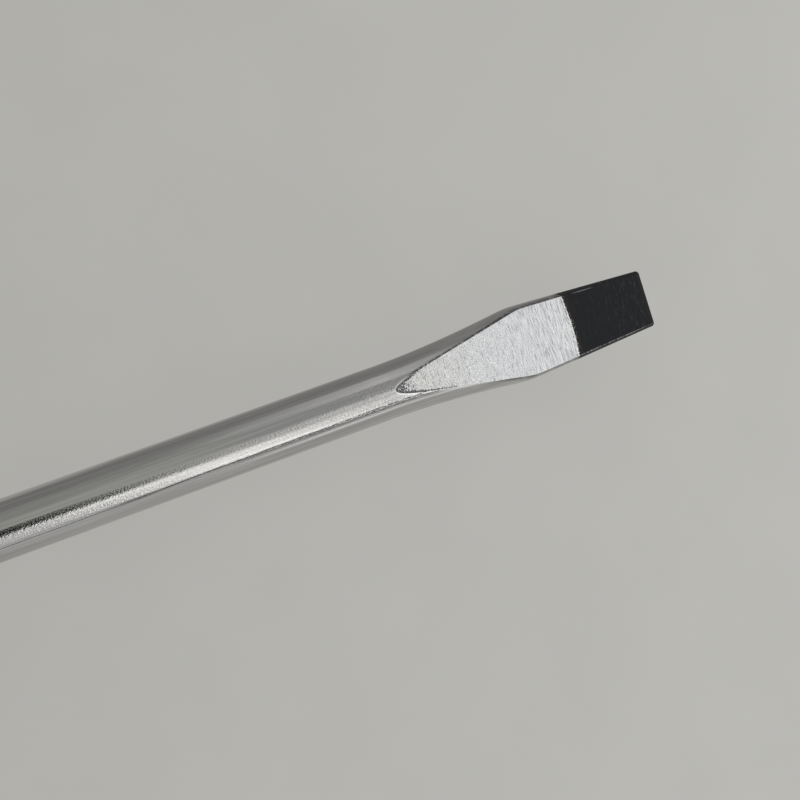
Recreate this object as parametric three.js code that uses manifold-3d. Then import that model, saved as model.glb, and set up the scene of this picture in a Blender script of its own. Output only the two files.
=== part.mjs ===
// Slotted screwdriver with a flared blade and a two-component handle.
// Millimetres. The tool lies on a flat of its handle: +X runs along the blade to the tip, +Z is up.
import * as THREE from 'three';
import { mergeVertices } from 'three/addons/utils/BufferGeometryUtils.js';
import Module from 'manifold-3d';

const wasm = await Module();
wasm.setup();

// Fits
const CLEARANCE = 0.3;
const OVERCUT = 1;

// Blade, measured back from the tip
const TIP_WIDTH = 6.5;
const TIP_THICKNESS = 1.2;
const TIP_SIDE_BULGE = 0.29;
const FLARE_WIDTH = 8.46;
const FLARE_DISTANCE = 18.2;
const FLARE_SIDE_BULGE = 0.46;
const FLARE_ROUNDING = 0.14;
const FLARE_CROWN = 0.755;
const GRIND_LENGTH = 36.3;
const SHANK_DIAMETER = 6;
const BLADE_LENGTH = 150;

// Exponents of the two curves that carry the flare back into the round shank
const FLARE_SWEEP = 1.8;
const CROWN_SWEEP = 2.4;

// Tang inside the handle
const WING_SPAN = 11;
const WING_LENGTH = 16;
const WING_SLOPE = 3.5;
const WING_THICKNESS = 2.2;
const WING_SETBACK = 6;
const TANG_POINT = 2;

// Hexagonal bolster in front of the handle
const BOLSTER_FLATS = 10;
const BOLSTER_LENGTH = 9;
const BOLSTER_CHAMFER = 0.7;

// Core moulded round the tang
const SLEEVE_WALL = 1.9;
const CORE_STEP = 4;
const CORE_WALL = 1.6;
const CORE_END_WALL = 3;
const CORE_CORNER = 2;

// Handle, measured back from its front face
const HANDLE_FLATS = 30;
const NOSE_DIAMETER = 14.4;
const NOSE_ROOT_DIAMETER = 18.4;
const NOSE_LENGTH = 5;
const NOSE_WALL = 2;
const NOSE_EDGE = 0.7;
const FLANGE_LENGTH = 9;
const FLANGE_CORNER = 4;
const FLANGE_SLOPE = 1.4;
const FLANGE_EDGE = 1.1;
const NECK_FRONT_DIAMETER = 25;
const NECK_DIAMETER = 20.4;
const NECK_REAR_DIAMETER = 22;
const GRIP_LENGTH = 26;
const GRIP_WAIST = 11;
const GRIP_THICKNESS = 2.1;
const RIB_COUNT = 7;
const RIB_HEIGHT = 0.55;
const BELLY_RISE = 18;
const BELLY_FLAT = 26;
const BELLY_FALL = 12;
const BELLY_CORNER = 7;

// Soft inlays along the corners of the belly
const INLAY_COUNT = 6;
const INLAY_WIDTH = 9;
const INLAY_DEPTH = 1.8;
const INLAY_MARGIN = 7;
const INLAY_RIB_PITCH = 4;
const INLAY_RIB_HEIGHT = 0.4;

// Butt cap with its hang hole
const CAP_LENGTH = 18;
const CAP_JOINT_FLATS = 26.8;
const CAP_JOINT_CORNER = 8;
const CAP_END_DIAMETER = 12;
const CAP_DOME = 2.2;
const SPIGOT_LENGTH = 16;
const HANG_HOLE_DIAMETER = 8;
const HANG_HOLE_SETBACK = 9;
const HANG_HOLE_CHAMFER = 1.2;

// Facets
const ROUND_SEGMENTS = 48;
const GRIP_SEGMENTS = 30;
const HOLE_SEGMENTS = 24;
const SIDE_SEGMENTS = 16;
const BELLY_STEPS = 4;
const DOME_STEPS = 9;

// Stations along the handle, as distances behind its front face
const SHANK_RADIUS = SHANK_DIAMETER / 2;
const HANDLE_HALF = HANDLE_FLATS / 2;
const CAP_JOINT_HALF = CAP_JOINT_FLATS / 2;
const FLANGE_END = NOSE_LENGTH + FLANGE_LENGTH;
const BELLY_START = FLANGE_END + GRIP_LENGTH;
const BELLY_LENGTH = BELLY_RISE + BELLY_FLAT + BELLY_FALL;
const CAP_START = BELLY_START + BELLY_LENGTH;
const HANDLE_LENGTH = CAP_START + CAP_LENGTH;
const SEAT_RADIUS = NECK_DIAMETER / 2 - GRIP_THICKNESS;
const CORE_END = CAP_START - SPIGOT_LENGTH - CLEARANCE;
const TANG_END = CORE_END - CORE_END_WALL - CLEARANCE;
const CORE_STEP_START = BELLY_START + CORE_STEP;
const WING_CENTRE = CORE_STEP_START + WING_SETBACK + WING_LENGTH / 2;
const SLEEVE_RADIUS = SHANK_RADIUS + CLEARANCE + SLEEVE_WALL;
const CORE_HALF = WING_SPAN / 2 + CLEARANCE + CORE_WALL;
const CORNER_ANGLE = Math.PI / 3;

const chrome = new THREE.MeshStandardMaterial({ color: '#b9bbbd', roughness: 0.22, metalness: 1 });
const hardBody = new THREE.MeshStandardMaterial({ color: '#44535e', roughness: 0.45, metalness: 0 });
const softGrip = new THREE.MeshStandardMaterial({ color: '#26282a', roughness: 0.8, metalness: 0 });
const corePlastic = new THREE.MeshStandardMaterial({ color: '#8d9296', roughness: 0.5, metalness: 0 });
const capPlastic = new THREE.MeshStandardMaterial({ color: '#2e3338', roughness: 0.5, metalness: 0 });

// Small helpers
const mix = (from, to, share) => from + (to - from) * share;
const ease = (share) => share * share * (3 - 2 * share);
const smoothLeast = (a, b, rounding) => (a + b - Math.hypot(a - b, rounding)) / 2;

function spread(from, to, count, bend = 1) {
  return Array.from({ length: count + 1 }, (_, i) => mix(from, to, (i / count) ** bend));
}

// A closed body from rings of points with equal counts, capped by a fan at each end.
function loft(rings) {
  const count = rings[0].length;
  const centre = (ring) => ring.reduce((sum, point) => sum.add(point), new THREE.Vector3()).divideScalar(count);
  const points = [...rings.flat(), centre(rings[0]), centre(rings.at(-1))];
  const last = (rings.length - 1) * count;
  const index = [];
  for (let j = 0; j < count; j++) {
    const k = (j + 1) % count;
    for (let base = 0; base < last; base += count) {
      index.push(base + j, base + k, base + count + k, base + j, base + count + k, base + count + j);
    }
    index.push(points.length - 2, k, j, points.length - 1, last + j, last + k);
  }
  const geometry = new THREE.BufferGeometry().setFromPoints(points);
  geometry.setIndex(index);
  return geometry;
}

// Welds a geometry into a solid for joining and cutting, without the faces that collapse.
function solid(geometry) {
  const bare = geometry.clone();
  bare.deleteAttribute('normal');
  bare.deleteAttribute('uv');
  const welded = mergeVertices(bare, 1e-4);
  const corners = welded.index.array;
  const faces = [];
  for (let i = 0; i < corners.length; i += 3) {
    const [a, b, c] = corners.slice(i, i + 3);
    if (a !== b && b !== c && c !== a) faces.push(a, b, c);
  }
  const mesh = new wasm.Mesh({
    numProp: 3,
    vertProperties: new Float32Array(welded.attributes.position.array),
    triVerts: new Uint32Array(faces),
  });
  return new wasm.Manifold(mesh);
}

function geometryOf(body) {
  const { vertProperties, triVerts } = body.getMesh();
  const geometry = new THREE.BufferGeometry();
  geometry.setAttribute('position', new THREE.BufferAttribute(vertProperties, 3));
  geometry.setIndex(new THREE.BufferAttribute(triVerts, 1));
  geometry.computeVertexNormals();
  return geometry;
}

// A revolve about the tool's axis, from [distance, radius] points that start and end on the axis.
function revolve(profile, segments = ROUND_SEGMENTS) {
  const points = profile.map(([along, radius]) => new THREE.Vector2(radius, along));
  return new THREE.LatheGeometry(points, segments).rotateZ(Math.PI / 2);
}

// Distance from the axis to a hexagon with rounded corners. Its flats face up and down.
function hexRadius(angle, half, corner) {
  const sector = CORNER_ANGLE;
  const fromCorner = Math.abs(angle - sector * Math.round(angle / sector));
  const fromFlat = sector / 2 - fromCorner;
  const flatReach = (half - corner) * Math.tan(sector / 2);
  if (half * Math.tan(fromFlat) <= flatReach) return half / Math.cos(fromFlat);
  const centre = (half - corner) / Math.cos(sector / 2);
  return centre * Math.cos(fromCorner) + Math.sqrt(corner ** 2 - (centre * Math.sin(fromCorner)) ** 2);
}

// A body along the handle from sections: distance behind the front, half across flats, corner radius.
function hexLoft(sections) {
  const rings = sections.map(({ back, half, corner }) => Array.from({ length: ROUND_SEGMENTS }, (_, i) => {
    const angle = (2 * Math.PI * i) / ROUND_SEGMENTS;
    const radius = hexRadius(angle, half, Math.min(corner, half));
    return new THREE.Vector3(-back, radius * Math.cos(angle), radius * Math.sin(angle));
  }));
  return loft(rings.reverse());
}

const round = (back, radius) => ({ back, half: radius, corner: radius });
const grown = (sections, by) => sections.map(({ back, half, corner }) => (
  { back, half: half + by, corner: corner + by }
));

// Half width, face half width and half thickness of the blade at a distance from the tip.
function bladeSection(fromTip) {
  const toFlare = fromTip / FLARE_DISTANCE;
  const toShank = (GRIND_LENGTH - fromTip) / (GRIND_LENGTH - FLARE_DISTANCE);
  const thickness = mix(TIP_THICKNESS / 2, SHANK_RADIUS, fromTip / GRIND_LENGTH);
  const straight = mix(TIP_WIDTH, FLARE_WIDTH, toFlare) / 2;
  const swept = SHANK_RADIUS + (FLARE_WIDTH / 2 - SHANK_RADIUS) * toShank ** FLARE_SWEEP;
  const crown = SHANK_RADIUS + FLARE_CROWN * toShank ** CROWN_SWEEP;
  const straightFace = straight - mix(TIP_SIDE_BULGE, FLARE_SIDE_BULGE, toFlare);
  const sweptFace = swept * Math.sqrt(Math.max(0, 1 - (thickness / crown) ** 2));
  if (fromTip >= GRIND_LENGTH) return { width: SHANK_RADIUS, face: 0, thickness: SHANK_RADIUS };
  return {
    width: smoothLeast(straight, swept, FLARE_ROUNDING),
    face: Math.max(0, smoothLeast(straightFace, sweptFace, FLARE_ROUNDING)),
    thickness,
  };
}

// A ring of the blade: two flat ground faces and two convex sides, which are arcs of a circle.
function bladeRing(along, { width, face, thickness }) {
  const bulge = width - face;
  const radius = (thickness ** 2 + bulge ** 2) / (2 * bulge);
  const reach = Math.atan2(thickness, face - (width - radius));
  const side = spread(-reach, reach, SIDE_SEGMENTS).map((turn) => (
    [width - radius + radius * Math.cos(turn), radius * Math.sin(turn)]
  ));
  const right = side.map(([y, z]) => new THREE.Vector3(along, y, z));
  const left = side.map(([y, z]) => new THREE.Vector3(along, -y, -z));
  return [...right, ...left];
}

// The forged wings that stop the tang from turning in its core.
function wings(grow) {
  const end = WING_LENGTH / 2 + grow;
  const tip = WING_SPAN / 2 + grow;
  const shape = new THREE.Shape([
    new THREE.Vector2(end, 0),
    new THREE.Vector2(end - WING_SLOPE, tip),
    new THREE.Vector2(WING_SLOPE - end, tip),
    new THREE.Vector2(-end, 0),
    new THREE.Vector2(WING_SLOPE - end, -tip),
    new THREE.Vector2(end - WING_SLOPE, -tip),
  ]);
  const depth = WING_THICKNESS + 2 * grow;
  const plate = new THREE.ExtrudeGeometry(shape, { depth, bevelEnabled: false });
  return solid(plate.translate(-WING_CENTRE, 0, -depth / 2));
}

function blade() {
  const flareZone = FLARE_DISTANCE / 9;
  const fromTip = [
    ...spread(0, FLARE_DISTANCE - flareZone, 4),
    ...spread(FLARE_DISTANCE - flareZone, FLARE_DISTANCE + flareZone, 8).slice(1),
    ...spread(GRIND_LENGTH, FLARE_DISTANCE + flareZone, 13, 1.5).reverse().slice(1),
  ];
  const tangRadius = SHANK_RADIUS - TANG_POINT / 2;
  const circle = (radius) => ({ width: radius, face: 0, thickness: radius });
  const rings = [
    bladeRing(-TANG_END, circle(tangRadius)),
    bladeRing(TANG_POINT - TANG_END, circle(SHANK_RADIUS)),
    ...fromTip.reverse().map((distance) => bladeRing(BLADE_LENGTH - distance, bladeSection(distance))),
  ];
  return geometryOf(solid(loft(rings)).add(wings(0)));
}

// The room that the tang takes in the core and the nose.
function tangRoom() {
  const radius = SHANK_RADIUS + CLEARANCE;
  const bore = revolve([[-BOLSTER_LENGTH, 0], [-BOLSTER_LENGTH, radius],
    [TANG_END + CLEARANCE, radius], [TANG_END + CLEARANCE, 0]]);
  return solid(bore).add(wings(CLEARANCE));
}

function bolster() {
  const front = -BOLSTER_LENGTH - CLEARANCE;
  const half = BOLSTER_FLATS / 2;
  const corner = half / Math.cos(CORNER_ANGLE / 2);
  const hexagon = new THREE.CylinderGeometry(corner, corner, BOLSTER_LENGTH, 6).rotateZ(-Math.PI / 2);
  hexagon.rotateX(CORNER_ANGLE / 2).translate(BOLSTER_LENGTH / 2 + CLEARANCE, 0, 0);
  const chamfered = revolve([[front, 0], [front, half - BOLSTER_CHAMFER / 2],
    [front + BOLSTER_CHAMFER, corner], [-CLEARANCE - BOLSTER_CHAMFER, corner],
    [-CLEARANCE, half - BOLSTER_CHAMFER / 2], [-CLEARANCE, 0]]);
  const radius = SHANK_RADIUS + CLEARANCE;
  const bore = revolve([[front - OVERCUT, 0], [front - OVERCUT, radius], [OVERCUT, radius], [OVERCUT, 0]]);
  return geometryOf(solid(hexagon).intersect(solid(chamfered)).subtract(solid(bore)));
}

// Core outline: a round sleeve through the neck, then a hexagon that keys it in the belly.
function coreSections(front, end) {
  return [
    round(front, SLEEVE_RADIUS),
    round(CORE_STEP_START, SLEEVE_RADIUS),
    { back: CORE_STEP_START, half: CORE_HALF, corner: CORE_CORNER },
    { back: end, half: CORE_HALF, corner: CORE_CORNER },
  ];
}

function core() {
  const body = solid(hexLoft(coreSections(NOSE_WALL + CLEARANCE, CORE_END)));
  return geometryOf(body.subtract(tangRoom()));
}

// The belly's outline swells from the round neck to a hexagon and falls again to the cap.
function bellySection(back) {
  const rise = (back - BELLY_START) / BELLY_RISE;
  const fall = (back - BELLY_START - BELLY_RISE - BELLY_FLAT) / BELLY_FALL;
  if (fall > 0) {
    return {
      back,
      half: mix(HANDLE_HALF, CAP_JOINT_HALF, fall ** 2),
      corner: mix(BELLY_CORNER, CAP_JOINT_CORNER, fall),
    };
  }
  const share = ease(Math.min(1, rise));
  const rear = NECK_REAR_DIAMETER / 2;
  return { back, half: mix(rear, HANDLE_HALF, share), corner: mix(rear, BELLY_CORNER, share) };
}

const bellySections = [
  ...spread(BELLY_START, BELLY_START + BELLY_RISE, BELLY_STEPS + 2),
  ...spread(BELLY_START + BELLY_RISE + BELLY_FLAT, CAP_START, BELLY_STEPS),
].map(bellySection);

// The outline of a pocket seen from outside, taken through the wall along one corner of the belly.
function inlayPrism(grow) {
  const radius = INLAY_WIDTH / 2 + grow;
  const reach = BELLY_LENGTH / 2 - INLAY_MARGIN + grow - radius;
  const shape = new THREE.Shape();
  shape.absarc(reach, 0, radius, -Math.PI / 2, Math.PI / 2);
  shape.absarc(-reach, 0, radius, Math.PI / 2, 1.5 * Math.PI);
  const depth = HANDLE_FLATS;
  const prism = new THREE.ExtrudeGeometry(shape, { depth, bevelEnabled: false, curveSegments: 8 });
  return solid(prism.rotateX(-Math.PI / 2).translate(-BELLY_START - BELLY_LENGTH / 2, 0, 0));
}

const inlayAngle = (step) => (2 * Math.PI * step) / INLAY_COUNT;

function handleBody() {
  const nose = [
    round(0, NOSE_DIAMETER / 2 - NOSE_EDGE),
    round(NOSE_EDGE, NOSE_DIAMETER / 2),
    round(NOSE_LENGTH, NOSE_ROOT_DIAMETER / 2),
  ];
  const flange = [
    [NOSE_LENGTH + FLANGE_SLOPE, FLANGE_EDGE],
    [NOSE_LENGTH + FLANGE_SLOPE + FLANGE_EDGE, 0],
    [FLANGE_END - FLANGE_EDGE, 0],
    [FLANGE_END, FLANGE_EDGE],
  ].map(([back, inset]) => ({ back, half: HANDLE_HALF - inset, corner: FLANGE_CORNER }));
  const seat = [round(FLANGE_END, SEAT_RADIUS), round(BELLY_START, SEAT_RADIUS)];
  const outside = hexLoft([...nose, ...flange, ...seat, ...bellySections]);
  const bore = grown(coreSections(NOSE_WALL, CAP_START + CLEARANCE), CLEARANCE);
  const pocketFloor = solid(hexLoft(grown(bellySections, -INLAY_DEPTH)));
  const pocket = geometryOf(inlayPrism(CLEARANCE).subtract(pocketFloor));
  let body = solid(outside).subtract(solid(hexLoft(bore))).subtract(tangRoom());
  for (let step = 0; step < INLAY_COUNT; step++) {
    body = body.subtract(solid(pocket.clone().rotateX(inlayAngle(step))));
  }
  return geometryOf(body);
}

function fingerGrip() {
  const front = FLANGE_END + CLEARANCE;
  const rear = BELLY_START - CLEARANCE;
  const pitch = (rear - front) / RIB_COUNT;
  const outline = (back) => {
    const fromWaist = back - FLANGE_END - GRIP_WAIST;
    if (fromWaist < 0) return mix(NECK_DIAMETER, NECK_FRONT_DIAMETER, (fromWaist / GRIP_WAIST) ** 2) / 2;
    return mix(NECK_DIAMETER, NECK_REAR_DIAMETER, ease(fromWaist / (GRIP_LENGTH - GRIP_WAIST))) / 2;
  };
  const inner = SEAT_RADIUS + CLEARANCE;
  const profile = [[rear, inner], [front, inner], [front, outline(front) - RIB_HEIGHT]];
  for (let rib = 0; rib < RIB_COUNT; rib++) {
    const start = front + rib * pitch;
    for (const [along, lift] of [[0.15, 0], [0.37, 1], [0.63, 1], [0.85, 0]]) {
      const back = start + along * pitch;
      profile.push([back, outline(back) - RIB_HEIGHT * (1 - lift)]);
    }
  }
  profile.push([rear, outline(rear) - RIB_HEIGHT], [rear, inner]);
  return geometryOf(solid(revolve(profile, GRIP_SEGMENTS)));
}

function gripInlay() {
  const start = BELLY_START + INLAY_MARGIN / 2;
  const end = CAP_START - INLAY_MARGIN / 2;
  const count = 2 * Math.round((end - start) / INLAY_RIB_PITCH);
  const ribbed = spread(start, end, count).map((back, i) => (
    grown([bellySection(back)], -INLAY_RIB_HEIGHT * (i % 2))[0]
  ));
  const floor = grown(bellySections, CLEARANCE - INLAY_DEPTH);
  return geometryOf(inlayPrism(0).intersect(solid(hexLoft(ribbed))).subtract(solid(hexLoft(floor))));
}

function buttCap() {
  const front = CAP_START + CLEARANCE;
  const end = CAP_END_DIAMETER / 2;
  const dome = spread(1, 0, DOME_STEPS, 2).reverse().map((share) => {
    const fullness = (1 - share ** CAP_DOME) ** (1 / CAP_DOME);
    return {
      back: mix(front, HANDLE_LENGTH, share),
      half: mix(end, CAP_JOINT_HALF, fullness),
      corner: mix(end, CAP_JOINT_CORNER, fullness),
    };
  });
  const spigot = [
    { back: CORE_END + CLEARANCE, half: CORE_HALF, corner: CORE_CORNER },
    { back: front, half: CORE_HALF, corner: CORE_CORNER },
  ];
  const radius = HANG_HOLE_DIAMETER / 2;
  const mouth = CAP_JOINT_HALF - 2 * HANG_HOLE_CHAMFER;
  const outside = HANDLE_HALF;
  const wide = radius + outside - mouth;
  const cutter = new THREE.LatheGeometry([[0, -outside], [wide, -outside], [radius, -mouth],
    [radius, mouth], [wide, outside], [0, outside]].map(([r, z]) => new THREE.Vector2(r, z)), HOLE_SEGMENTS);
  cutter.rotateX(Math.PI / 2).translate(-CAP_START - HANG_HOLE_SETBACK, 0, 0);
  return geometryOf(solid(hexLoft([...spigot, ...dome])).subtract(solid(cutter)));
}

const tool = new THREE.Group();
tool.position.set((HANDLE_LENGTH - BLADE_LENGTH) / 2, 0, HANDLE_HALF);

function place(name, geometry, material) {
  const mesh = new THREE.Mesh(geometry, material);
  mesh.name = name;
  tool.add(mesh);
  return mesh;
}

place('blade', blade(), chrome);
place('bolster', bolster(), chrome);
place('inner_core', core(), corePlastic);
place('handle_body', handleBody(), hardBody);
place('finger_grip', fingerGrip(), softGrip);
place('butt_cap', buttCap(), capPlastic);

const inlay = gripInlay();
for (let step = 0; step < INLAY_COUNT; step++) {
  const mesh = place(`grip_inlay_${step + 1}`, inlay, softGrip);
  mesh.rotation.x = inlayAngle(step);
}

const group = new THREE.Group();
group.add(tool);

export default group;
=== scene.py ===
"""Looks of the slotted screwdriver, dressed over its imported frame.

Sizes are in millimetres, and depths of relief in micrometres. Lengths along the blade run back from its
tip, and lengths along the handle run back from its front face. Meshes are written in metres, in the shared
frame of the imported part.
"""
import logging
import math
from dataclasses import dataclass
from enum import Enum

import bmesh
import bpy
import numpy as np
from mathutils import Matrix, Vector


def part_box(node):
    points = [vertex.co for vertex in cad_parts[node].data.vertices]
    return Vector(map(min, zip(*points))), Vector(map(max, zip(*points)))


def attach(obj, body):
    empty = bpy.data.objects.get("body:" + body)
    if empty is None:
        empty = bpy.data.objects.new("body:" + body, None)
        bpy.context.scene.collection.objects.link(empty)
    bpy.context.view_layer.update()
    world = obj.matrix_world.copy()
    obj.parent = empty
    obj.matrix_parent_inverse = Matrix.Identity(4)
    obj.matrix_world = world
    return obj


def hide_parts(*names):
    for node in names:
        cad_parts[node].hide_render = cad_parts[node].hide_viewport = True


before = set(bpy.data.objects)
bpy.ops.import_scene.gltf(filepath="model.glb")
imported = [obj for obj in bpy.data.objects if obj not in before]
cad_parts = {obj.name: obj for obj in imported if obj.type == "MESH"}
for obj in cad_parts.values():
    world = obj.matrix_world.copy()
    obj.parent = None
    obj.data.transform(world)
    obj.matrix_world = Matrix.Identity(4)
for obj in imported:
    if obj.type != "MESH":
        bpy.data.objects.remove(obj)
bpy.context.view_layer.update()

log = logging.getLogger("screwdriver")

MM = 0.001
MICRON = 1e-6
BODY = "root"
FULL_TURN = 2 * math.pi
SECTOR = math.pi / 3
WELD = 2e-7

Points = np.ndarray
Faces = list[list[int]]
Piece = bpy.types.Object
Material = bpy.types.Material
Node = bpy.types.Node
Tree = bpy.types.NodeTree
Socket = bpy.types.NodeSocket
Value = Socket | float | tuple
Span = tuple[float, float]
Size = tuple[float, float, float]
Colour = tuple[float, float, float, float]
Outline = tuple[Span, ...]


class Slot(Enum):
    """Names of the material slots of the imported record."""

    CHROME = "chrome_steel"
    BODY = "body_plastic"
    SOFT = "soft_grip"
    CAP = "cap_plastic"


class Ends(Enum):
    """How a loft of rings is closed."""

    CAPPED = "capped"
    LOOPED = "looped"
    OPEN = "open"


class Cut(Enum):
    """How one mesh acts on another."""

    JOIN = "UNION"
    TAKE_AWAY = "DIFFERENCE"


class Curve(Enum):
    """How a value runs between the ends of a range."""

    SMOOTH = "SMOOTHSTEP"
    EVEN = "LINEAR"


class Kind(Enum):
    """Kinds of inputs of a geometry node tree."""

    NUMBER = "NodeSocketFloat"
    COUNT = "NodeSocketInt"
    PLACE = "NodeSocketVector"
    SHAPE = "NodeSocketGeometry"
    FINISH = "NodeSocketMaterial"


def mix(start: float, end: float, share: float) -> float:
    """Blend two numbers."""
    return start + (end - start) * share


def ease(share: float) -> float:
    """Slow start and slow end between 0 and 1."""
    return share * share * (3 - 2 * share)


def smooth_least(first: float, second: float, rounding: float) -> float:
    """The lesser of two numbers, with a rounded change over."""
    return (first + second - math.hypot(first - second, rounding)) / 2


def round_off(start: Points, peak: Points, end: Points, share: float) -> Points:
    """A point on the curve that rounds off a corner."""
    return start * (1 - share) ** 2 + peak * 2 * share * (1 - share) + end * share**2


def full_turn(count: int) -> Points:
    """Angles round a full turn, in even steps."""
    return np.arange(count) * FULL_TURN / count


def round_ring(along: float, radius: Points | float, angle: Points) -> Points:
    """A ring of points round the tool's axis."""
    return np.stack([np.full(len(angle), along), radius * np.cos(angle), radius * np.sin(angle)], 1)


@dataclass(frozen=True)
class ToolAxis:
    """Where the tool's axis lies in the shared frame, in metres."""

    front: float
    height: float

    @classmethod
    def from_frame(cls) -> "ToolAxis":
        """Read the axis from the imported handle."""
        low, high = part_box("handle_body")
        return cls(front=high.x, height=(low.z + high.z) / 2)

    def world(self, points: Points) -> Points:
        """Carry points in millimetres from the handle's front face into the shared frame."""
        return np.asarray(points, float) * MM + np.array((self.front, 0.0, self.height))

    def level(self, points: Points) -> Points:
        """Carry points along the shared frame, but leave them about its X axis."""
        return points * MM + np.array((self.front, 0.0, 0.0))

    @property
    def lift(self) -> Size:
        """The way from the frame's X axis up to the tool's axis."""
        return 0.0, 0.0, self.height


@dataclass(frozen=True)
class Stop:
    """One section of the handle: a hexagon with rounded corners, or a circle."""

    back: float
    half: float
    corner: float
    soften: float = 0.0

    @classmethod
    def round(cls, back: float, radius: float, soften: float = 0.0) -> "Stop":
        """A circular section."""
        return cls(back, radius, radius, soften)


def hex_radius(angle: Points, half: float, corner: float) -> Points:
    """Distance from the axis to a hexagon with rounded corners, whose flats face up and down.

    Args:
        angle: Angles round the axis, from a corner.
        half: Half the width across the flats.
        corner: Radius of the corners.

    Returns:
        The distance at each angle.
    """
    from_corner = np.abs(angle - SECTOR * np.round(angle / SECTOR))
    from_flat = SECTOR / 2 - from_corner
    centre = (half - corner) / math.cos(SECTOR / 2)
    inside = np.maximum(corner**2 - (centre * np.sin(from_corner)) ** 2, 0)
    rounded = centre * np.cos(from_corner) + np.sqrt(inside)
    on_flat = half * np.tan(from_flat) <= (half - corner) * math.tan(SECTOR / 2)
    return np.where(on_flat, half / np.cos(from_flat), rounded)


def softened(stops: list[Stop], steps: int = 6, most: float = 0.48) -> list[Stop]:
    """Round the corners of an outline along the handle.

    Args:
        stops: Sections in order, each with the length over which its corner is rounded.
        steps: Sections that make up each rounded corner.
        most: Largest share of the way to its neighbour that a rounded corner takes.

    Returns:
        The sections with every softened corner replaced by a short curve.
    """
    rows = np.array([(s.back, s.half, s.corner) for s in stops])
    result = []
    for i, stop in enumerate(stops):
        if not stop.soften or i in (0, len(stops) - 1):
            result.append(stop)
            continue
        cuts = []
        for neighbour in (i - 1, i + 1):
            leg = rows[neighbour] - rows[i]
            length = math.hypot(leg[0], leg[1])
            cuts.append(rows[i] + leg * min(stop.soften / length, most))
        result += [Stop(*round_off(cuts[0], rows[i], cuts[1], t)) for t in np.linspace(0, 1, steps)]
    return result


def hex_rings(stops: list[Stop], count: int) -> Points:
    """Rings of points for sections of the handle.

    Args:
        stops: The sections.
        count: Points in each ring.

    Returns:
        An array of rings, in millimetres from the handle's front face.
    """
    angle = full_turn(count)
    rings = []
    for stop in stops:
        radius = hex_radius(angle, stop.half, min(stop.corner, stop.half))
        rings.append(round_ring(-stop.back, radius, angle))
    return np.array(rings)


def loft(rings: Points, ends: Ends) -> tuple[Points, Faces]:
    """Skin a row of rings.

    Args:
        rings: Rings of equal counts.
        ends: Capped for a solid bar, looped where the last ring meets the first, open where the end rings
            are folded onto a line.

    Returns:
        The points and the faces.
    """
    rows, count, _ = rings.shape
    index = np.arange(rows * count).reshape(rows, count)
    ahead = np.roll(index, -1, axis=0)
    near, far = (index, ahead) if ends is Ends.LOOPED else (index[:-1], index[1:])
    quads = np.stack([near, np.roll(near, -1, 1), np.roll(far, -1, 1), far], -1).reshape(-1, 4)
    faces = quads.tolist()
    if ends is Ends.CAPPED:
        faces += [index[0][::-1].tolist(), index[-1].tolist()]
    return rings.reshape(-1, 3), faces


def add_object(name: str, data: bpy.types.ID) -> Piece:
    """Put a mesh, a lamp or a camera into the scene as an object."""
    made = bpy.data.objects.new(name, data)
    bpy.context.scene.collection.objects.link(made)
    return made


def make_object(name: str, points: Points, faces: Faces, marks: dict[str, Points] | None = None) -> Piece:
    """Make a clean mesh object in the scene.

    Args:
        name: Name of the piece.
        points: Points in metres.
        faces: Faces as lists of point numbers.
        marks: Numbers that the points carry, by name.

    Returns:
        The object, welded and with its faces turned outwards.
    """
    mesh = bpy.data.meshes.new(name)
    mesh.from_pydata(points.tolist(), [], faces)
    for key, values in (marks or {}).items():
        mesh.attributes.new(key, "FLOAT", "POINT").data.foreach_set("value", values.ravel())
    piece = add_object(name, mesh)
    tidy_mesh(piece)
    return piece


def loft_object(name: str, rings: Points, ends: Ends, axis: ToolAxis) -> Piece:
    """Skin a row of rings and set it in the shared frame."""
    points, faces = loft(rings, ends)
    return make_object(name, axis.world(points), faces)


def tidy_mesh(piece: Piece) -> None:
    """Weld a mesh, drop collapsed faces and turn its faces outwards."""
    work = bmesh.new()
    work.from_mesh(piece.data)
    bmesh.ops.remove_doubles(work, verts=work.verts, dist=WELD)
    bmesh.ops.dissolve_degenerate(work, edges=work.edges, dist=WELD)
    bmesh.ops.recalc_face_normals(work, faces=work.faces)
    work.to_mesh(piece.data)
    work.free()


def shade(piece: Piece, crease: float) -> None:
    """Shade a mesh smooth, apart from edges that turn more than the crease in degrees."""
    for polygon in piece.data.polygons:
        polygon.use_smooth = True
    piece.data.set_sharp_from_angle(angle=math.radians(crease))


def settle(piece: Piece) -> None:
    """Turn a piece with modifiers into a plain mesh."""
    graph = bpy.context.evaluated_depsgraph_get()
    mesh = bpy.data.meshes.new_from_object(piece.evaluated_get(graph))
    piece.modifiers.clear()
    piece.data = mesh


def combine(piece: Piece, tool: Piece, how: Cut) -> None:
    """Join another mesh to a piece or take it away, and remove the other mesh."""
    step = piece.modifiers.new("combine", "BOOLEAN")
    step.operation = how.value
    step.solver = "EXACT"
    step.object = tool
    settle(piece)
    bpy.data.objects.remove(tool)
    tidy_mesh(piece)


def paint(piece: Piece, *materials: Material) -> None:
    """Give a piece its materials, in place of any that it has."""
    piece.data.materials.clear()
    for material in materials:
        piece.data.materials.append(material)


def hand_over(piece: Piece, nodes: list[str]) -> None:
    """Put a finished piece on the body and let it stand for its solids.

    Args:
        piece: The finished piece.
        nodes: Names of the solids that it replaces.
    """
    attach(piece, BODY)
    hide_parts(*nodes)
    log.info("%s stands for %s with %d faces", piece.name, ", ".join(nodes), len(piece.data.polygons))


@dataclass(frozen=True)
class Fade:
    """A change from one value to another over a range of numbers or lengths."""

    over: Span
    ends: Span = (0.0, 1.0)
    curve: Curve = Curve.SMOOTH


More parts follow.
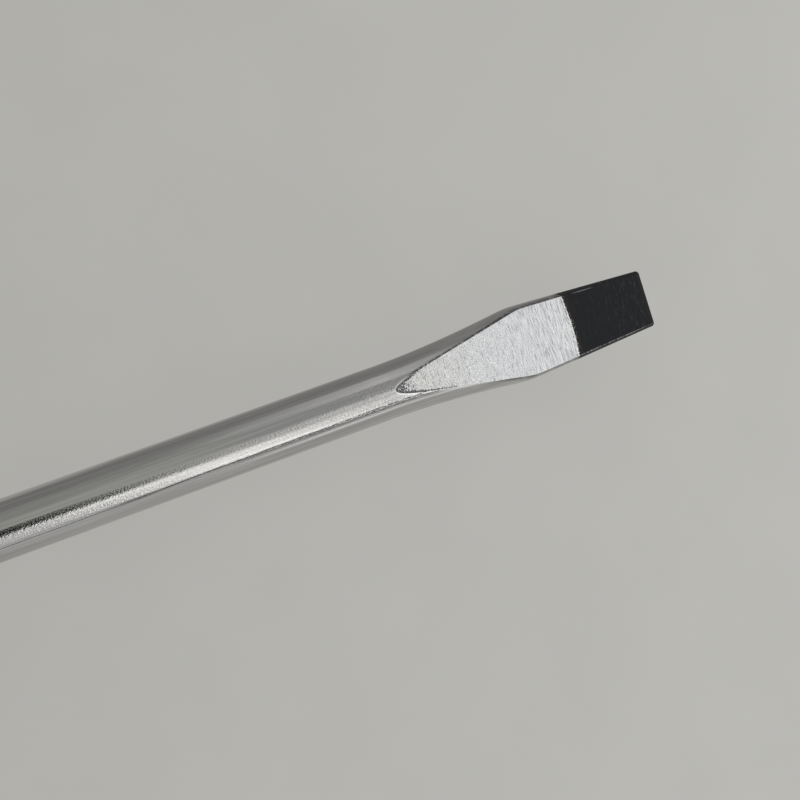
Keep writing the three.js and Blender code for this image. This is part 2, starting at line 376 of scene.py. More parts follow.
@dataclass(frozen=True)
class Grain:
    """A cloudy pattern on a piece.

    It has the size of its features along the three axes, its finer layers and their strength, how far it is
    warped, a shift that tells it from other patterns, the part of its range that shows, and its relief.
    """

    size: Size
    detail: float = 2.0
    rough: float = 0.5
    bend: float = 0.0
    offset: float = 0.0
    shows: Span = (0.3, 0.7)
    depth: float = 0.0


class NodePen:
    """Draws nodes into a tree, and takes sockets and plain values alike."""

    def __init__(self, tree: Tree) -> None:
        """Keep the tree."""
        self.tree = tree

    def node(self, kind: str, inputs: dict[str | int, Value] | None = None, **settings: object) -> Node:
        """Add a node.

        Args:
            kind: Blender's name of the node type.
            inputs: Values or sockets for its inputs, by name or number.
            settings: Attributes of the node.

        Returns:
            The node.
        """
        made = self.tree.nodes.new(kind)
        for key, value in settings.items():
            setattr(made, key, value)
        self.fill(made, inputs or {})
        return made

    def fill(self, node: Node, inputs: dict[str | int, Value]) -> None:
        """Link sockets to a node's inputs, and set plain values on them."""
        for key, value in inputs.items():
            if isinstance(value, Socket):
                self.tree.links.new(value, node.inputs[key])
            else:
                node.inputs[key].default_value = value

    def math(self, operation: str, first: Value, second: Value = 0.0, clamp: bool = False) -> Socket:
        """Add a sum and return its result."""
        made = self.node("ShaderNodeMath", {0: first, 1: second}, operation=operation, use_clamp=clamp)
        return made.outputs[0]

    def chain(self, operation: str, first: Value, *others: Value) -> Socket:
        """Carry out one operation on several values in turn."""
        for other in others:
            first = self.math(operation, first, other)
        return first

    def times(self, *factors: Value) -> Socket:
        """The product of several values."""
        return self.chain("MULTIPLY", *factors)

    def plus(self, *terms: Value) -> Socket:
        """The sum of several values."""
        return self.chain("ADD", *terms)

    def most(self, *values: Value) -> Socket:
        """The largest of several values."""
        return self.chain("MAXIMUM", *values)

    def minus(self, first: Value, second: Value) -> Socket:
        """The difference of two values."""
        return self.math("SUBTRACT", first, second)

    def rest(self, share: Value) -> Socket:
        """What a share leaves of 1."""
        return self.minus(1.0, share)

    def ramp(self, value: Value, low: Value, high: Value, start: Value = 0.0, end: Value = 1.0,
             curve: Curve = Curve.SMOOTH) -> Socket:
        """Carry a value from one range to another.

        Args:
            value: What is carried over.
            low: Where the first range starts.
            high: Where the first range ends.
            start: Result at the low end.
            end: Result at the high end.
            curve: How the result runs between its ends.

        Returns:
            The result, held within the second range.
        """
        made = self.node(
            "ShaderNodeMapRange",
            {"Value": value, "From Min": low, "From Max": high, "To Min": start, "To Max": end},
            interpolation_type=curve.value,
        )
        return made.outputs[0]

    def fade(self, value: Value, fade: Fade) -> Socket:
        """Follow a fade over a range of numbers."""
        return self.ramp(value, *fade.over, *fade.ends, fade.curve)

    def stretch(self, length: Value, fade: Fade, datum: float = 0.0) -> Socket:
        """Follow a fade over lengths in millimetres from a datum."""
        low, high = (datum + part * MM for part in fade.over)
        return self.ramp(length, low, high, *fade.ends, fade.curve)

    def blend(self, share: Value, first: Value, second: Value) -> Socket:
        """Blend two colours."""
        made = self.node("ShaderNodeMix", {0: share, 6: first, 7: second}, data_type="RGBA")
        return made.outputs[2]

    def stain(self, share: Value, colour: Value, tint: Value) -> Socket:
        """Multiply a colour by a tint."""
        inputs = {0: share, 6: colour, 7: tint}
        return self.node("ShaderNodeMix", inputs, data_type="RGBA", blend_type="MULTIPLY").outputs[2]

    def weigh(self, share: Value, first: Value, second: Value, label: str = "") -> Socket:
        """Blend two numbers."""
        made = self.node("ShaderNodeMix", {0: share, 2: first, 3: second}, data_type="FLOAT", label=label)
        return made.outputs[0]

    def split(self, vector: Value) -> tuple[Socket, ...]:
        """The three parts of a vector."""
        return tuple(self.node("ShaderNodeSeparateXYZ", {0: vector}).outputs)

    def place(self) -> Socket:
        """Where a point lies on its piece."""
        return self.node("ShaderNodeTexCoord").outputs["Object"]

    def mark(self, name: str) -> Socket:
        """A number that the mesh carries at each of its points."""
        return self.node("ShaderNodeAttribute", attribute_name=name).outputs["Fac"]

    def grain(self, grain: Grain) -> Socket:
        """Draw a cloudy pattern.

        Args:
            grain: The pattern.

        Returns:
            A number from 0 to 1.
        """
        scale = tuple(1 / (part * MM) for part in grain.size)
        shift = tuple(grain.offset / part for part in grain.size)
        moved = self.node("ShaderNodeMapping", {"Vector": self.place(), "Scale": scale, "Location": shift})
        made = self.node("ShaderNodeTexNoise", {
            "Vector": moved.outputs[0],
            "Scale": 1.0,
            "Detail": grain.detail,
            "Roughness": grain.rough,
            "Distortion": grain.bend,
        })
        return made.outputs[0]

    def shown(self, grain: Grain, drawn: Socket | None = None) -> Socket:
        """The part of a cloudy pattern's range that shows, stretched to run from 0 to 1.

        Args:
            grain: The pattern.
            drawn: The pattern's own number, where it is drawn already.

        Returns:
            A number from 0 to 1.
        """
        number = self.grain(grain) if drawn is None else drawn
        return self.ramp(number, *grain.shows)

    def swing(self, grain: Grain) -> Socket:
        """A cloudy pattern that swings about 0."""
        return self.minus(self.grain(grain), 0.5)

    def cells(self, size: float, crease: float) -> Socket:
        """A leathery pattern of small raised cells.

        Args:
            size: Size of the cells, in millimetres.
            crease: Share of a cell that its sloping border takes up.

        Returns:
            1 on the cells and 0 in the creases between them.
        """
        inputs = {"Vector": self.place(), "Scale": 1 / (size * MM)}
        made = self.node("ShaderNodeTexVoronoi", inputs, feature="DISTANCE_TO_EDGE")
        return self.ramp(made.outputs["Distance"], 0.0, crease)

    def relief(self, height: Value, depth: float, under: Socket | None = None) -> Socket:
        """A surface normal tilted by a height.

        Args:
            height: The height, from 0 to 1.
            depth: Depth of the whole range, in micrometres.
            under: Normal on which the tilt is laid.

        Returns:
            The tilted normal.
        """
        inputs = {"Height": height, "Distance": depth * MICRON, "Strength": 1.0}
        if under is not None:
            inputs["Normal"] = under
        return self.node("ShaderNodeBump", inputs).outputs[0]

    def crests(self, turns: Value, sharpness: Value) -> Socket:
        """Crests from 0 to 1, one for each full turn, which are narrower the sharper they are."""
        swing = self.math("COSINE", self.times(turns, FULL_TURN))
        return self.math("POWER", self.times(self.plus(swing, 1.0), 0.5), sharpness)


def new_material(name: str) -> tuple[Material, NodePen, Node]:
    """Start a material.

    Args:
        name: Name of the material.

    Returns:
        The material, a pen for its nodes, and its surface shader.
    """
    material = bpy.data.materials.new(name)
    material.use_nodes = True
    shader = material.node_tree.nodes["Principled BSDF"]
    return material, NodePen(material.node_tree), shader


@dataclass(frozen=True)
class BlackDip:
    """Black oxide on the blade's tip, with a chipped border and worn edges.

    The border, the tip and the scuff are places along the shared frame, in metres. The step, the splashes and
    the chips fade past the ragged border, the rubbing and the thin start past the straight one, and what is
    named for the end up to the tip. The near wear and the scuff's side fade across the blade.
    """

    border: float
    tip: float
    scuff: float
    colour: Colour = (0.0064, 0.0071, 0.0092, 1)
    stroke: Colour = (0.0340, 0.0350, 0.0380, 1)
    warm: Colour = (0.0260, 0.0200, 0.0160, 1)
    roughness: float = 0.5
    gloss: float = 0.2
    raggedness: float = 0.42
    bow: float = 0.022
    wobble: Grain = Grain((0.45, 0.2, 0.5), 4, 0.7)
    step: Fade = Fade((0, 0.06))
    specks: Grain = Grain((0.12, 0.2, 0.2), offset=15, shows=(0.52, 0.58))
    splash_outer: Fade = Fade((-0.5, -0.22), (0, 0.8))
    splash_inner: Fade = Fade((-0.14, -0.06), (1, 0))
    flecks: Grain = Grain((0.06, 0.5, 0.5), 1, offset=4, shows=(0.43, 0.55))
    near_wear: Fade = Fade((-0.5, 0.5), (0.55, 0))
    end_wear: Fade = Fade((-3.5, -1), (1, 0.35))
    scuff_reach: Fade = Fade((0.3, 1.9), (0.3, 0))
    scuff_side: Fade = Fade((0, 1))
    chips: Grain = Grain((0.17, 0.14, 0.2), 3, offset=9, shows=(0.58, 0.66))
    chip_reach: Fade = Fade((0.05, 0.5), (0.6, 0))
    strokes: Grain = Grain((0.2, 1.2, 1.0), 3, 0.6, 0.5, 2, shows=(0.52, 0.74))
    rubbing: Fade = Fade((1.5, 8.3), (0.25, 1))
    thin_start: Fade = Fade((0, 0.9), (1, 0))
    thin_end: Fade = Fade((-0.9, 0), (0, 0.8))
    thinning: Grain = Grain((0.5, 0.5, 0.5), 3, offset=17)

    def past_border(self, pen: NodePen) -> Socket:
        """How far a point lies beyond the coat's ragged border, towards the tip, in metres."""
        along, across, _ = pen.split(pen.place())
        shift = pen.times(pen.swing(self.wobble), self.raggedness * MM)
        bowed = pen.times(across, across, self.bow / MM)
        return pen.minus(pen.plus(along, shift, bowed), self.border)

    def share(self, pen: NodePen) -> Socket:
        """How much of the surface is black.

        Args:
            pen: Pen of the material.

        Returns:
            1 where the coat is whole and 0 on bare metal.
        """
        along, across, _ = pen.split(pen.place())
        past = self.past_border(pen)
        splashed = pen.times(pen.stretch(past, self.splash_outer), pen.stretch(past, self.splash_inner))
        coated = pen.most(pen.stretch(past, self.step), pen.times(pen.shown(self.specks), splashed))
        near = pen.times(pen.stretch(across, self.near_wear), pen.stretch(along, self.end_wear, self.tip))
        off_scuff = pen.math("ABSOLUTE", pen.minus(along, self.scuff))
        scuffed = pen.times(pen.stretch(off_scuff, self.scuff_reach), pen.stretch(across, self.scuff_side))
        worn = pen.times(pen.mark("edge"), pen.most(pen.times(pen.shown(self.flecks), near), scuffed))
        chipped = pen.times(pen.shown(self.chips), pen.stretch(past, self.chip_reach))
        return pen.times(coated, pen.rest(pen.most(worn, chipped)))

    def tint(self, pen: NodePen) -> Socket:
        """Colour of the coat: faint strokes across the blade, browner where the coat is thin."""
        along = pen.split(pen.place())[0]
        rubbed = pen.times(pen.shown(self.strokes), pen.stretch(along, self.rubbing, self.border))
        black = pen.blend(rubbed, self.colour, self.stroke)
        start = pen.stretch(along, self.thin_start, self.border)
        end = pen.stretch(along, self.thin_end, self.tip)
        return pen.blend(pen.times(pen.most(start, end), pen.grain(self.thinning)), black, self.warm)

    def cover(self, pen: NodePen, shader: Node, black: Socket, metal: Socket, gloss: Socket) -> None:
        """Lay the coat over a steel.

        Args:
            pen: Pen of the material.
            shader: Surface shader of the material.
            black: How much of the surface is black.
            metal: Colour of the bare steel.
            gloss: Roughness of the bare steel.
        """
        pen.fill(shader, {
            "Base Color": pen.blend(black, metal, self.tint(pen)),
            "Roughness": pen.weigh(black, gloss, self.roughness),
            "Metallic": pen.rest(black),
            "Specular IOR Level": self.gloss,
        })


@dataclass(frozen=True)
class DieLine:
    """A fine line that drawing left along the shank.

    It runs from one angle round the axis to another, and from one distance behind the tip to another.
    """

    angles: Span
    start: float
    end: float
    depth: float = 0.92
    half_width: float = 0.036


@dataclass(frozen=True)
class PlatedSteel:
    """Bright plated steel: lengthwise streaks, a sandy top, die lines, and a painted shade line and painted
    highlight by the grind.

    The apex of the grind and the flare are places along the shared frame, in metres. Fades along the blade
    run from the apex. Those of the outline run from the flare, apart from its far start and its end at the
    coat, and those of the die lines from their ends. The near side and the sandy limits lie across the blade.
    """

    dip: BlackDip
    axis: ToolAxis
    apex: float
    flare: float
    shank_radius: float
    bright: Colour = (0.604, 0.600, 0.596, 1)
    dull: Colour = (0.478, 0.474, 0.470, 1)
    # Darkens the die lines, which are real grooves, and the painted shade line along the grind's outline.
    groove: Colour = (0.070, 0.066, 0.072, 1)
    # Painted highlight: the bright line on the burr round the nose, and bright glint specks among the sand.
    burr_glint: Colour = (0.90, 0.90, 0.90, 1)
    pit: Colour = (0.24, 0.235, 0.245, 1)
    gloss: Fade = Fade((0.25, 0.75), (0.05, 0.12), Curve.EVEN)
    streaks: Grain = Grain((24.0, 0.36, 0.36), 4, 0.68, shows=(0.34, 0.66), depth=2.0)
    patches: Grain = Grain((3.0, 0.8, 0.8), 3, offset=5)
    patch_lift: float = 0.5
    waves: Grain = Grain((9.0, 1.1, 1.1), offset=11, depth=8.0)
    grit: Grain = Grain((0.28, 0.14, 0.14), 2, 0.55, offset=3, depth=12.0)
    hatch: Grain = Grain((0.11, 0.5, 0.5), offset=37, depth=2.0)
    sandy_lower: Fade = Fade((-1.85, -1.55))
    sandy_upper: float = -0.05
    sandy_spread: Fade = Fade((-16, -4), (0.35 * MM, 2.3 * MM))
    sandiness: Fade = Fade((0, 1), (0.08, 1))
    sand: Grain = Grain((0.17, 0.16, 0.16), 2, 0.55, offset=41)
    sand_start: Fade = Fade((-18, -2))
    pits: Fade = Fade((0.52, 0.62), (0, 0.34))
    # Painted glints: bright specks among the sand. The dark pits are the metal's own.
    glint_specks: Fade = Fade((0.38, 0.46), (0.18, 0))
    lines: tuple[DieLine, ...] = (
        DieLine((30.8, 29.6), 110, 66),
        DieLine((27.2, 22.5), 70, 31, half_width=0.062),
        DieLine((29.0, 29.6), 56, 29, depth=0.5),
    )
    line_sides: Span = (0.3, 1.7)
    line_ends: tuple[Fade, Fade] = (Fade((-2, 2)), Fade((-2, 2), (1, 0)))
    line_drift: Grain = Grain((6.0, 60.0, 60.0), 3, 0.55, offset=19)
    meander: float = 0.09
    dashes: Grain = Grain((0.42, 0.3, 0.3), offset=21, shows=(0.42, 0.52))
    dash_gaps: Fade = Fade((-12, -4), (0.75, 0))
    # The outline fades place a painted shade line along the grind; the glint fades place a painted highlight
    # by its nose.
    near_side: Fade = Fade((-0.3, 0.3), (1, 0))
    far_outline: Fade = Fade((1.6, 3.5))
    near_outline: Fade = Fade((-8, -1), (0, 0.9))
    outline_fading: Fade = Fade((-5, 2), (0.95, 0.68))
    outline_end: Fade = Fade((-2.5, 0))
    outline_width: Fade = Fade((-7, 6.9), (0.34, 1.5))
    outline_sides: Fade = Fade((0.12, 1), (1, 0))
    outline_breaks: Grain = Grain((0.5, 0.5, 0.5), 3, offset=31)
    outline_gaps: Fade = Fade((0.36, 0.5), (0.3, 1))
    nose_glint: Fade = Fade((1.2, 2.6), (0.75, 0))
    side_glint: Fade = Fade((7, 12), (0.85, 0))
    glint_sides: Fade = Fade((0.05, 0.28), (1, 0))

    def scored(self, pen: NodePen) -> Socket:
        """How much of a point lies in a die line.

        Args:
            pen: Pen of the material.

        Returns:
            1 in the middle of a line and 0 beside it.
        """
        along, across, up = pen.split(pen.place())
        turn = pen.math("ARCTAN2", pen.times(across, -1.0), pen.minus(up, self.axis.height))
        drift = pen.times(pen.swing(self.line_drift), self.meander)
        gaps = pen.stretch(along, self.dash_gaps, self.apex)
        dashes = pen.ramp(pen.grain(self.dashes), *self.dashes.shows, gaps, 1)
        total = 0.0
        for line in self.lines:
            first, last = (math.radians(angle) for angle in line.angles)
            start, end = (self.dip.tip - distance * MM for distance in (line.start, line.end))
            middle = pen.ramp(along, start, end, first, last, Curve.EVEN)
            off = pen.math("ABSOLUTE", pen.plus(pen.minus(turn, middle), drift))
            sides = (part * line.half_width / self.shank_radius for part in self.line_sides)
            mark = pen.ramp(off, *sides, line.depth, 0)
            for edge, fade in zip((start, end), self.line_ends):
                mark = pen.times(mark, pen.stretch(along, fade, edge))
            total = pen.most(mark, total)
        return pen.times(total, dashes)

    def outline(self, pen: NodePen) -> tuple[Socket, Socket]:
        """Marks beside the edge of the ground faces.

        Args:
            pen: Pen of the material.

        Returns:
            A painted shade line along the edge, and a painted highlight on the burr round the nose of the
            grind.
        """
        along, across, _ = pen.split(pen.place())
        rim = pen.mark("rim")
        near = pen.stretch(across, self.near_side)
        far_start = pen.stretch(along, self.far_outline, self.apex)
        start = pen.weigh(near, far_start, pen.stretch(along, self.near_outline, self.flare))
        fading = pen.stretch(along, self.outline_fading, self.flare)
        fading = pen.most(fading, pen.stretch(along, self.outline_end, self.dip.border))
        broken = pen.fade(pen.grain(self.outline_breaks), self.outline_gaps)
        width = pen.stretch(along, self.outline_width, self.flare)
        line = pen.fade(pen.math("DIVIDE", rim, width), self.outline_sides)
        nose = pen.stretch(along, self.nose_glint, self.apex)
        beside = pen.most(nose, pen.times(near, pen.stretch(along, self.side_glint, self.apex)))
        return pen.times(line, start, fading, broken), pen.times(pen.fade(rim, self.glint_sides), beside)

    def material(self) -> Material:
        """Make the material.

        Returns:
            Plated steel for the shank and the sides of the flare.
        """
        material, pen, shader = new_material("plated_steel")
        along, across, _ = pen.split(pen.place())
        streaks = pen.grain(self.streaks)
        line, burr_glint = self.outline(pen)
        metal = pen.blend(pen.shown(self.streaks, streaks), self.dull, self.bright)
        lower = pen.stretch(across, self.sandy_lower)
        spread = pen.stretch(along, self.sandy_spread, self.apex)
        upper = pen.ramp(across, self.sandy_upper * MM, spread, 1, 0)
        top = pen.fade(pen.times(lower, upper), self.sandiness)
        sand = pen.grain(self.sand)
        beach = pen.times(top, pen.stretch(along, self.sand_start, self.apex))
        metal = pen.blend(pen.times(pen.fade(sand, self.pits), beach), metal, self.pit)
        # Painted glints: bright specks in the sandy band where the top catches light.
        metal = pen.blend(pen.times(pen.fade(sand, self.glint_specks), beach), metal, self.burr_glint)
        # Painted highlight on the burr round the nose of the grind.
        metal = pen.blend(burr_glint, metal, self.burr_glint)
        # Dark die lines, which are real, and the painted shade line along the grind's outline.
        metal = pen.blend(pen.most(self.scored(pen), line), metal, self.groove)
        worn = pen.times(streaks, pen.plus(pen.grain(self.patches), self.patch_lift))
        self.dip.cover(pen, shader, self.dip.share(pen), metal, pen.fade(worn, self.gloss))
        normal = pen.relief(streaks, self.streaks.depth)
        normal = pen.relief(pen.grain(self.waves), self.waves.depth, normal)
        for grain in (self.grit, self.hatch):
            normal = pen.relief(pen.times(pen.swing(grain), top), grain.depth, normal)
        pen.fill(shader, {"Normal": normal})
        return material


@dataclass(frozen=True)
class GroundSteel:
    """Ground faces of the blade, with lines across it and a scaly nose where the grind runs out.

    The bright lip along the coat's border is a painted highlight.
    """

    dip: BlackDip
    apex: float
    bright: Colour = (0.935, 0.945, 0.965, 1)
    dull: Colour = (0.52, 0.535, 0.56, 1)
    lined: Colour = (0.315, 0.33, 0.36, 1)
    warm: Colour = (1.0, 0.985, 0.945, 1)
    scratch: Colour = (0.27, 0.275, 0.29, 1)
    # Painted highlight: colour of the bright lip by the coat's border.
    lip_highlight: Colour = (0.97, 0.97, 0.96, 1)
    scale: Colour = (0.030, 0.028, 0.036, 1)
    crust: Colour = (0.20, 0.20, 0.215, 1)
    gloss: Fade = Fade((0.3, 0.7), (0.22, 0.36), Curve.EVEN)
    lines: Grain = Grain((0.060, 1.3, 1.3), 1, 0.5, 0.12, shows=(0.38, 0.56), depth=7.0)
    mottle: Grain = Grain((0.12, 0.13, 0.2), offset=6, shows=(0.40, 0.60), depth=13.0)
    cloud: Grain = Grain((2.4, 1.6, 2.0), 3, offset=13)
    cloud_share: float = 0.08
    scratches: Grain = Grain((0.13, 0.8, 1.0), 2, 0.5, 0.6, 23)
    scratched: Fade = Fade((0.62, 0.70), (0, 0.7))
    nose_scratches: float = 0.05
    run_out: Fade = Fade((9, 23), (0.8, 0.3))
    near_nose: Fade = Fade((3, 15), (1, 0))
    lip_reach: Fade = Fade((-0.2, -0.08), (0, 0.8))
    lip_gaps: Fade = Fade((0.42, 0.56), (0.1, 1))
    crusty: Fade = Fade((0.42, 0.58))
    specks: Grain = Grain((0.16, 0.15, 0.2), 2, 0.55, offset=27)
    scaly_nose: Fade = Fade((0.3, 4.4), (0.21, -0.2), Curve.EVEN)
    scaly_side: Fade = Fade((-0.3, 0.1), (0.42, 0.22))
    scaly_reach: Fade = Fade((4.5, 12), (1, 0))
    scaly_rim: Fade = Fade((-0.42, -0.05))
    scaly_share: Fade = Fade((0.55, 0.64), (0, 0.94))
    coat_fill: float = 0.75

    def scaly(self, pen: NodePen) -> Socket:
        """How much of a point is covered by scale, at the nose and along the near edge beside it.

        Args:
            pen: Pen of the material.

        Returns:
            1 under scale and 0 on clean metal.
        """
        along, across, _ = pen.split(pen.place())
        nose = pen.stretch(along, self.scaly_nose, self.apex)
        side = pen.stretch(across, self.scaly_side)
        reach = pen.stretch(along, self.scaly_reach, self.apex)
        border = pen.times(side, reach, pen.fade(pen.mark("rim"), self.scaly_rim))
        return pen.fade(pen.plus(nose, border, pen.grain(self.specks)), self.scaly_share)

    def material(self) -> Material:
        """Make the material.

        Returns:
            Ground steel for the two flat faces.
        """
        material, pen, shader = new_material("ground_steel")
        along = pen.split(pen.place())[0]
        lines = pen.grain(self.lines)
        mottle = pen.grain(self.mottle)
        run_out = pen.stretch(along, self.run_out, self.apex)
        black = self.dip.share(pen)
        tone = pen.weigh(run_out, pen.shown(self.lines, lines), pen.shown(self.mottle, mottle))
        tone = pen.weigh(self.cloud_share, tone, pen.grain(self.cloud))
        metal = pen.blend(tone, pen.blend(run_out, self.lined, self.dull), self.bright)
        near = pen.stretch(along, self.near_nose, self.apex)
        metal = pen.stain(near, metal, self.warm)
        marks = pen.plus(pen.grain(self.scratches), pen.times(near, self.nose_scratches))
        metal = pen.blend(pen.fade(marks, self.scratched), metal, self.scratch)
        # Painted highlight: a bright lip just outside the coat's border.
        lip_highlight = pen.stretch(self.dip.past_border(pen), self.lip_reach)
        metal = pen.blend(pen.times(lip_highlight, pen.fade(mottle, self.lip_gaps)), metal, self.lip_highlight)
        scaled = pen.blend(pen.fade(mottle, self.crusty), self.scale, self.crust)
        metal = pen.blend(self.scaly(pen), metal, scaled)
        self.dip.cover(pen, shader, black, metal, pen.fade(mottle, self.gloss))
        bare = pen.rest(pen.times(black, self.coat_fill))
        grooves = pen.relief(pen.times(lines, bare), self.lines.depth)
        pits = pen.relief(pen.times(run_out, bare, mottle), self.mottle.depth, grooves)
        pen.fill(shader, {"Normal": pits})
        return material


@dataclass(frozen=True)
class TurnedSteel:
    """Plated steel of the bolster, with faint turning marks."""

    bright: Colour = (0.58, 0.585, 0.59, 1)
    dull: Colour = (0.48, 0.485, 0.49, 1)
    gloss: Fade = Fade((0.3, 0.7), (0.2, 0.34), Curve.EVEN)
    rings: Grain = Grain((0.12, 3.0, 3.0), 3, 0.6, depth=5.0)
    cloud: Grain = Grain((2.0, 2.0, 2.0), 3, offset=8)

    def material(self) -> Material:
        """Make the material.

        Returns:
            Satin plated steel.
        """
        material, pen, shader = new_material("turned_steel")
        rings = pen.grain(self.rings)
        pen.fill(shader, {
            "Base Color": pen.blend(pen.shown(self.rings, rings), self.dull, self.bright),
            "Roughness": pen.fade(pen.grain(self.cloud), self.gloss),
            "Metallic": 1.0,
            "Normal": pen.relief(rings, self.rings.depth),
        })
        return material


@dataclass(frozen=True)
class MouldedPlastic:
    """Hard moulded plastic with a fine spark-eroded texture and a parting line."""

    name: str
    colour: Colour
    pale: Colour
    roughness: float
    gloss_range: Span = (-0.05, 0.07)
    clouds: Grain = Grain((9.0, 9.0, 9.0), 4, 0.55)
    speck: Grain = Grain((0.3, 0.3, 0.3), 3, 0.6, offset=3, depth=9.0)
    speck_share: float = 0.35
    seam: Fade = Fade((0.048, 0.16), (1, 0))
    seam_share: float = 0.6
    seam_tone: float = 1.6
    seam_height: float = 45.0

    def material(self) -> Material:
        """Make the material.

        Returns:
            Moulded plastic in this finish's colours.
        """
        material, pen, shader = new_material(self.name)
        clouds = pen.grain(self.clouds)
        speck = pen.grain(self.speck)
        seam = pen.stretch(pen.math("ABSOLUTE", pen.split(pen.place())[1]), self.seam)
        tone = pen.weigh(self.speck_share, pen.shown(self.clouds, clouds), pen.shown(self.speck, speck))
        tone = pen.weigh(pen.times(seam, self.seam_share), tone, self.seam_tone)
        least, most = (self.roughness + part for part in self.gloss_range)
        pen.fill(shader, {
            "Base Color": pen.blend(tone, self.colour, self.pale),
            "Roughness": pen.ramp(clouds, *self.clouds.shows, least, most, Curve.EVEN),
            "Normal": pen.relief(seam, self.seam_height, pen.relief(speck, self.speck.depth)),
        })
        return material


@dataclass(frozen=True)
class SoftElastomer:
    """Soft rubbery grip, matt, with a leathery skin and a dusty bloom."""

    colour: Colour = (0.0185, 0.0195, 0.0205, 1)
    bloom: Colour = (0.036, 0.037, 0.038, 1)
    gloss: Fade = Fade((0.3, 0.7), (0.60, 0.78), Curve.EVEN)
    dust: Grain = Grain((5.0, 5.0, 5.0), 5, 0.6, shows=(0.4, 0.75))
    skin: Grain = Grain((0.22, 0.22, 0.22), 3, 0.6, offset=7, depth=14.0)
    cell: float = 0.75
    crease: float = 0.14
    cell_depth: float = 26.0

    def material(self) -> Material:
        """Make the material.

        Returns:
            Soft elastomer.
        """
        material, pen, shader = new_material("soft_elastomer")
        skin = pen.grain(self.skin)
        leather = pen.cells(self.cell, self.crease)
        pen.fill(shader, {
            "Base Color": pen.blend(pen.shown(self.dust), self.colour, self.bloom),
            "Roughness": pen.fade(skin, self.gloss),
            "Normal": pen.relief(leather, self.cell_depth, pen.relief(skin, self.skin.depth)),
        })
        return material


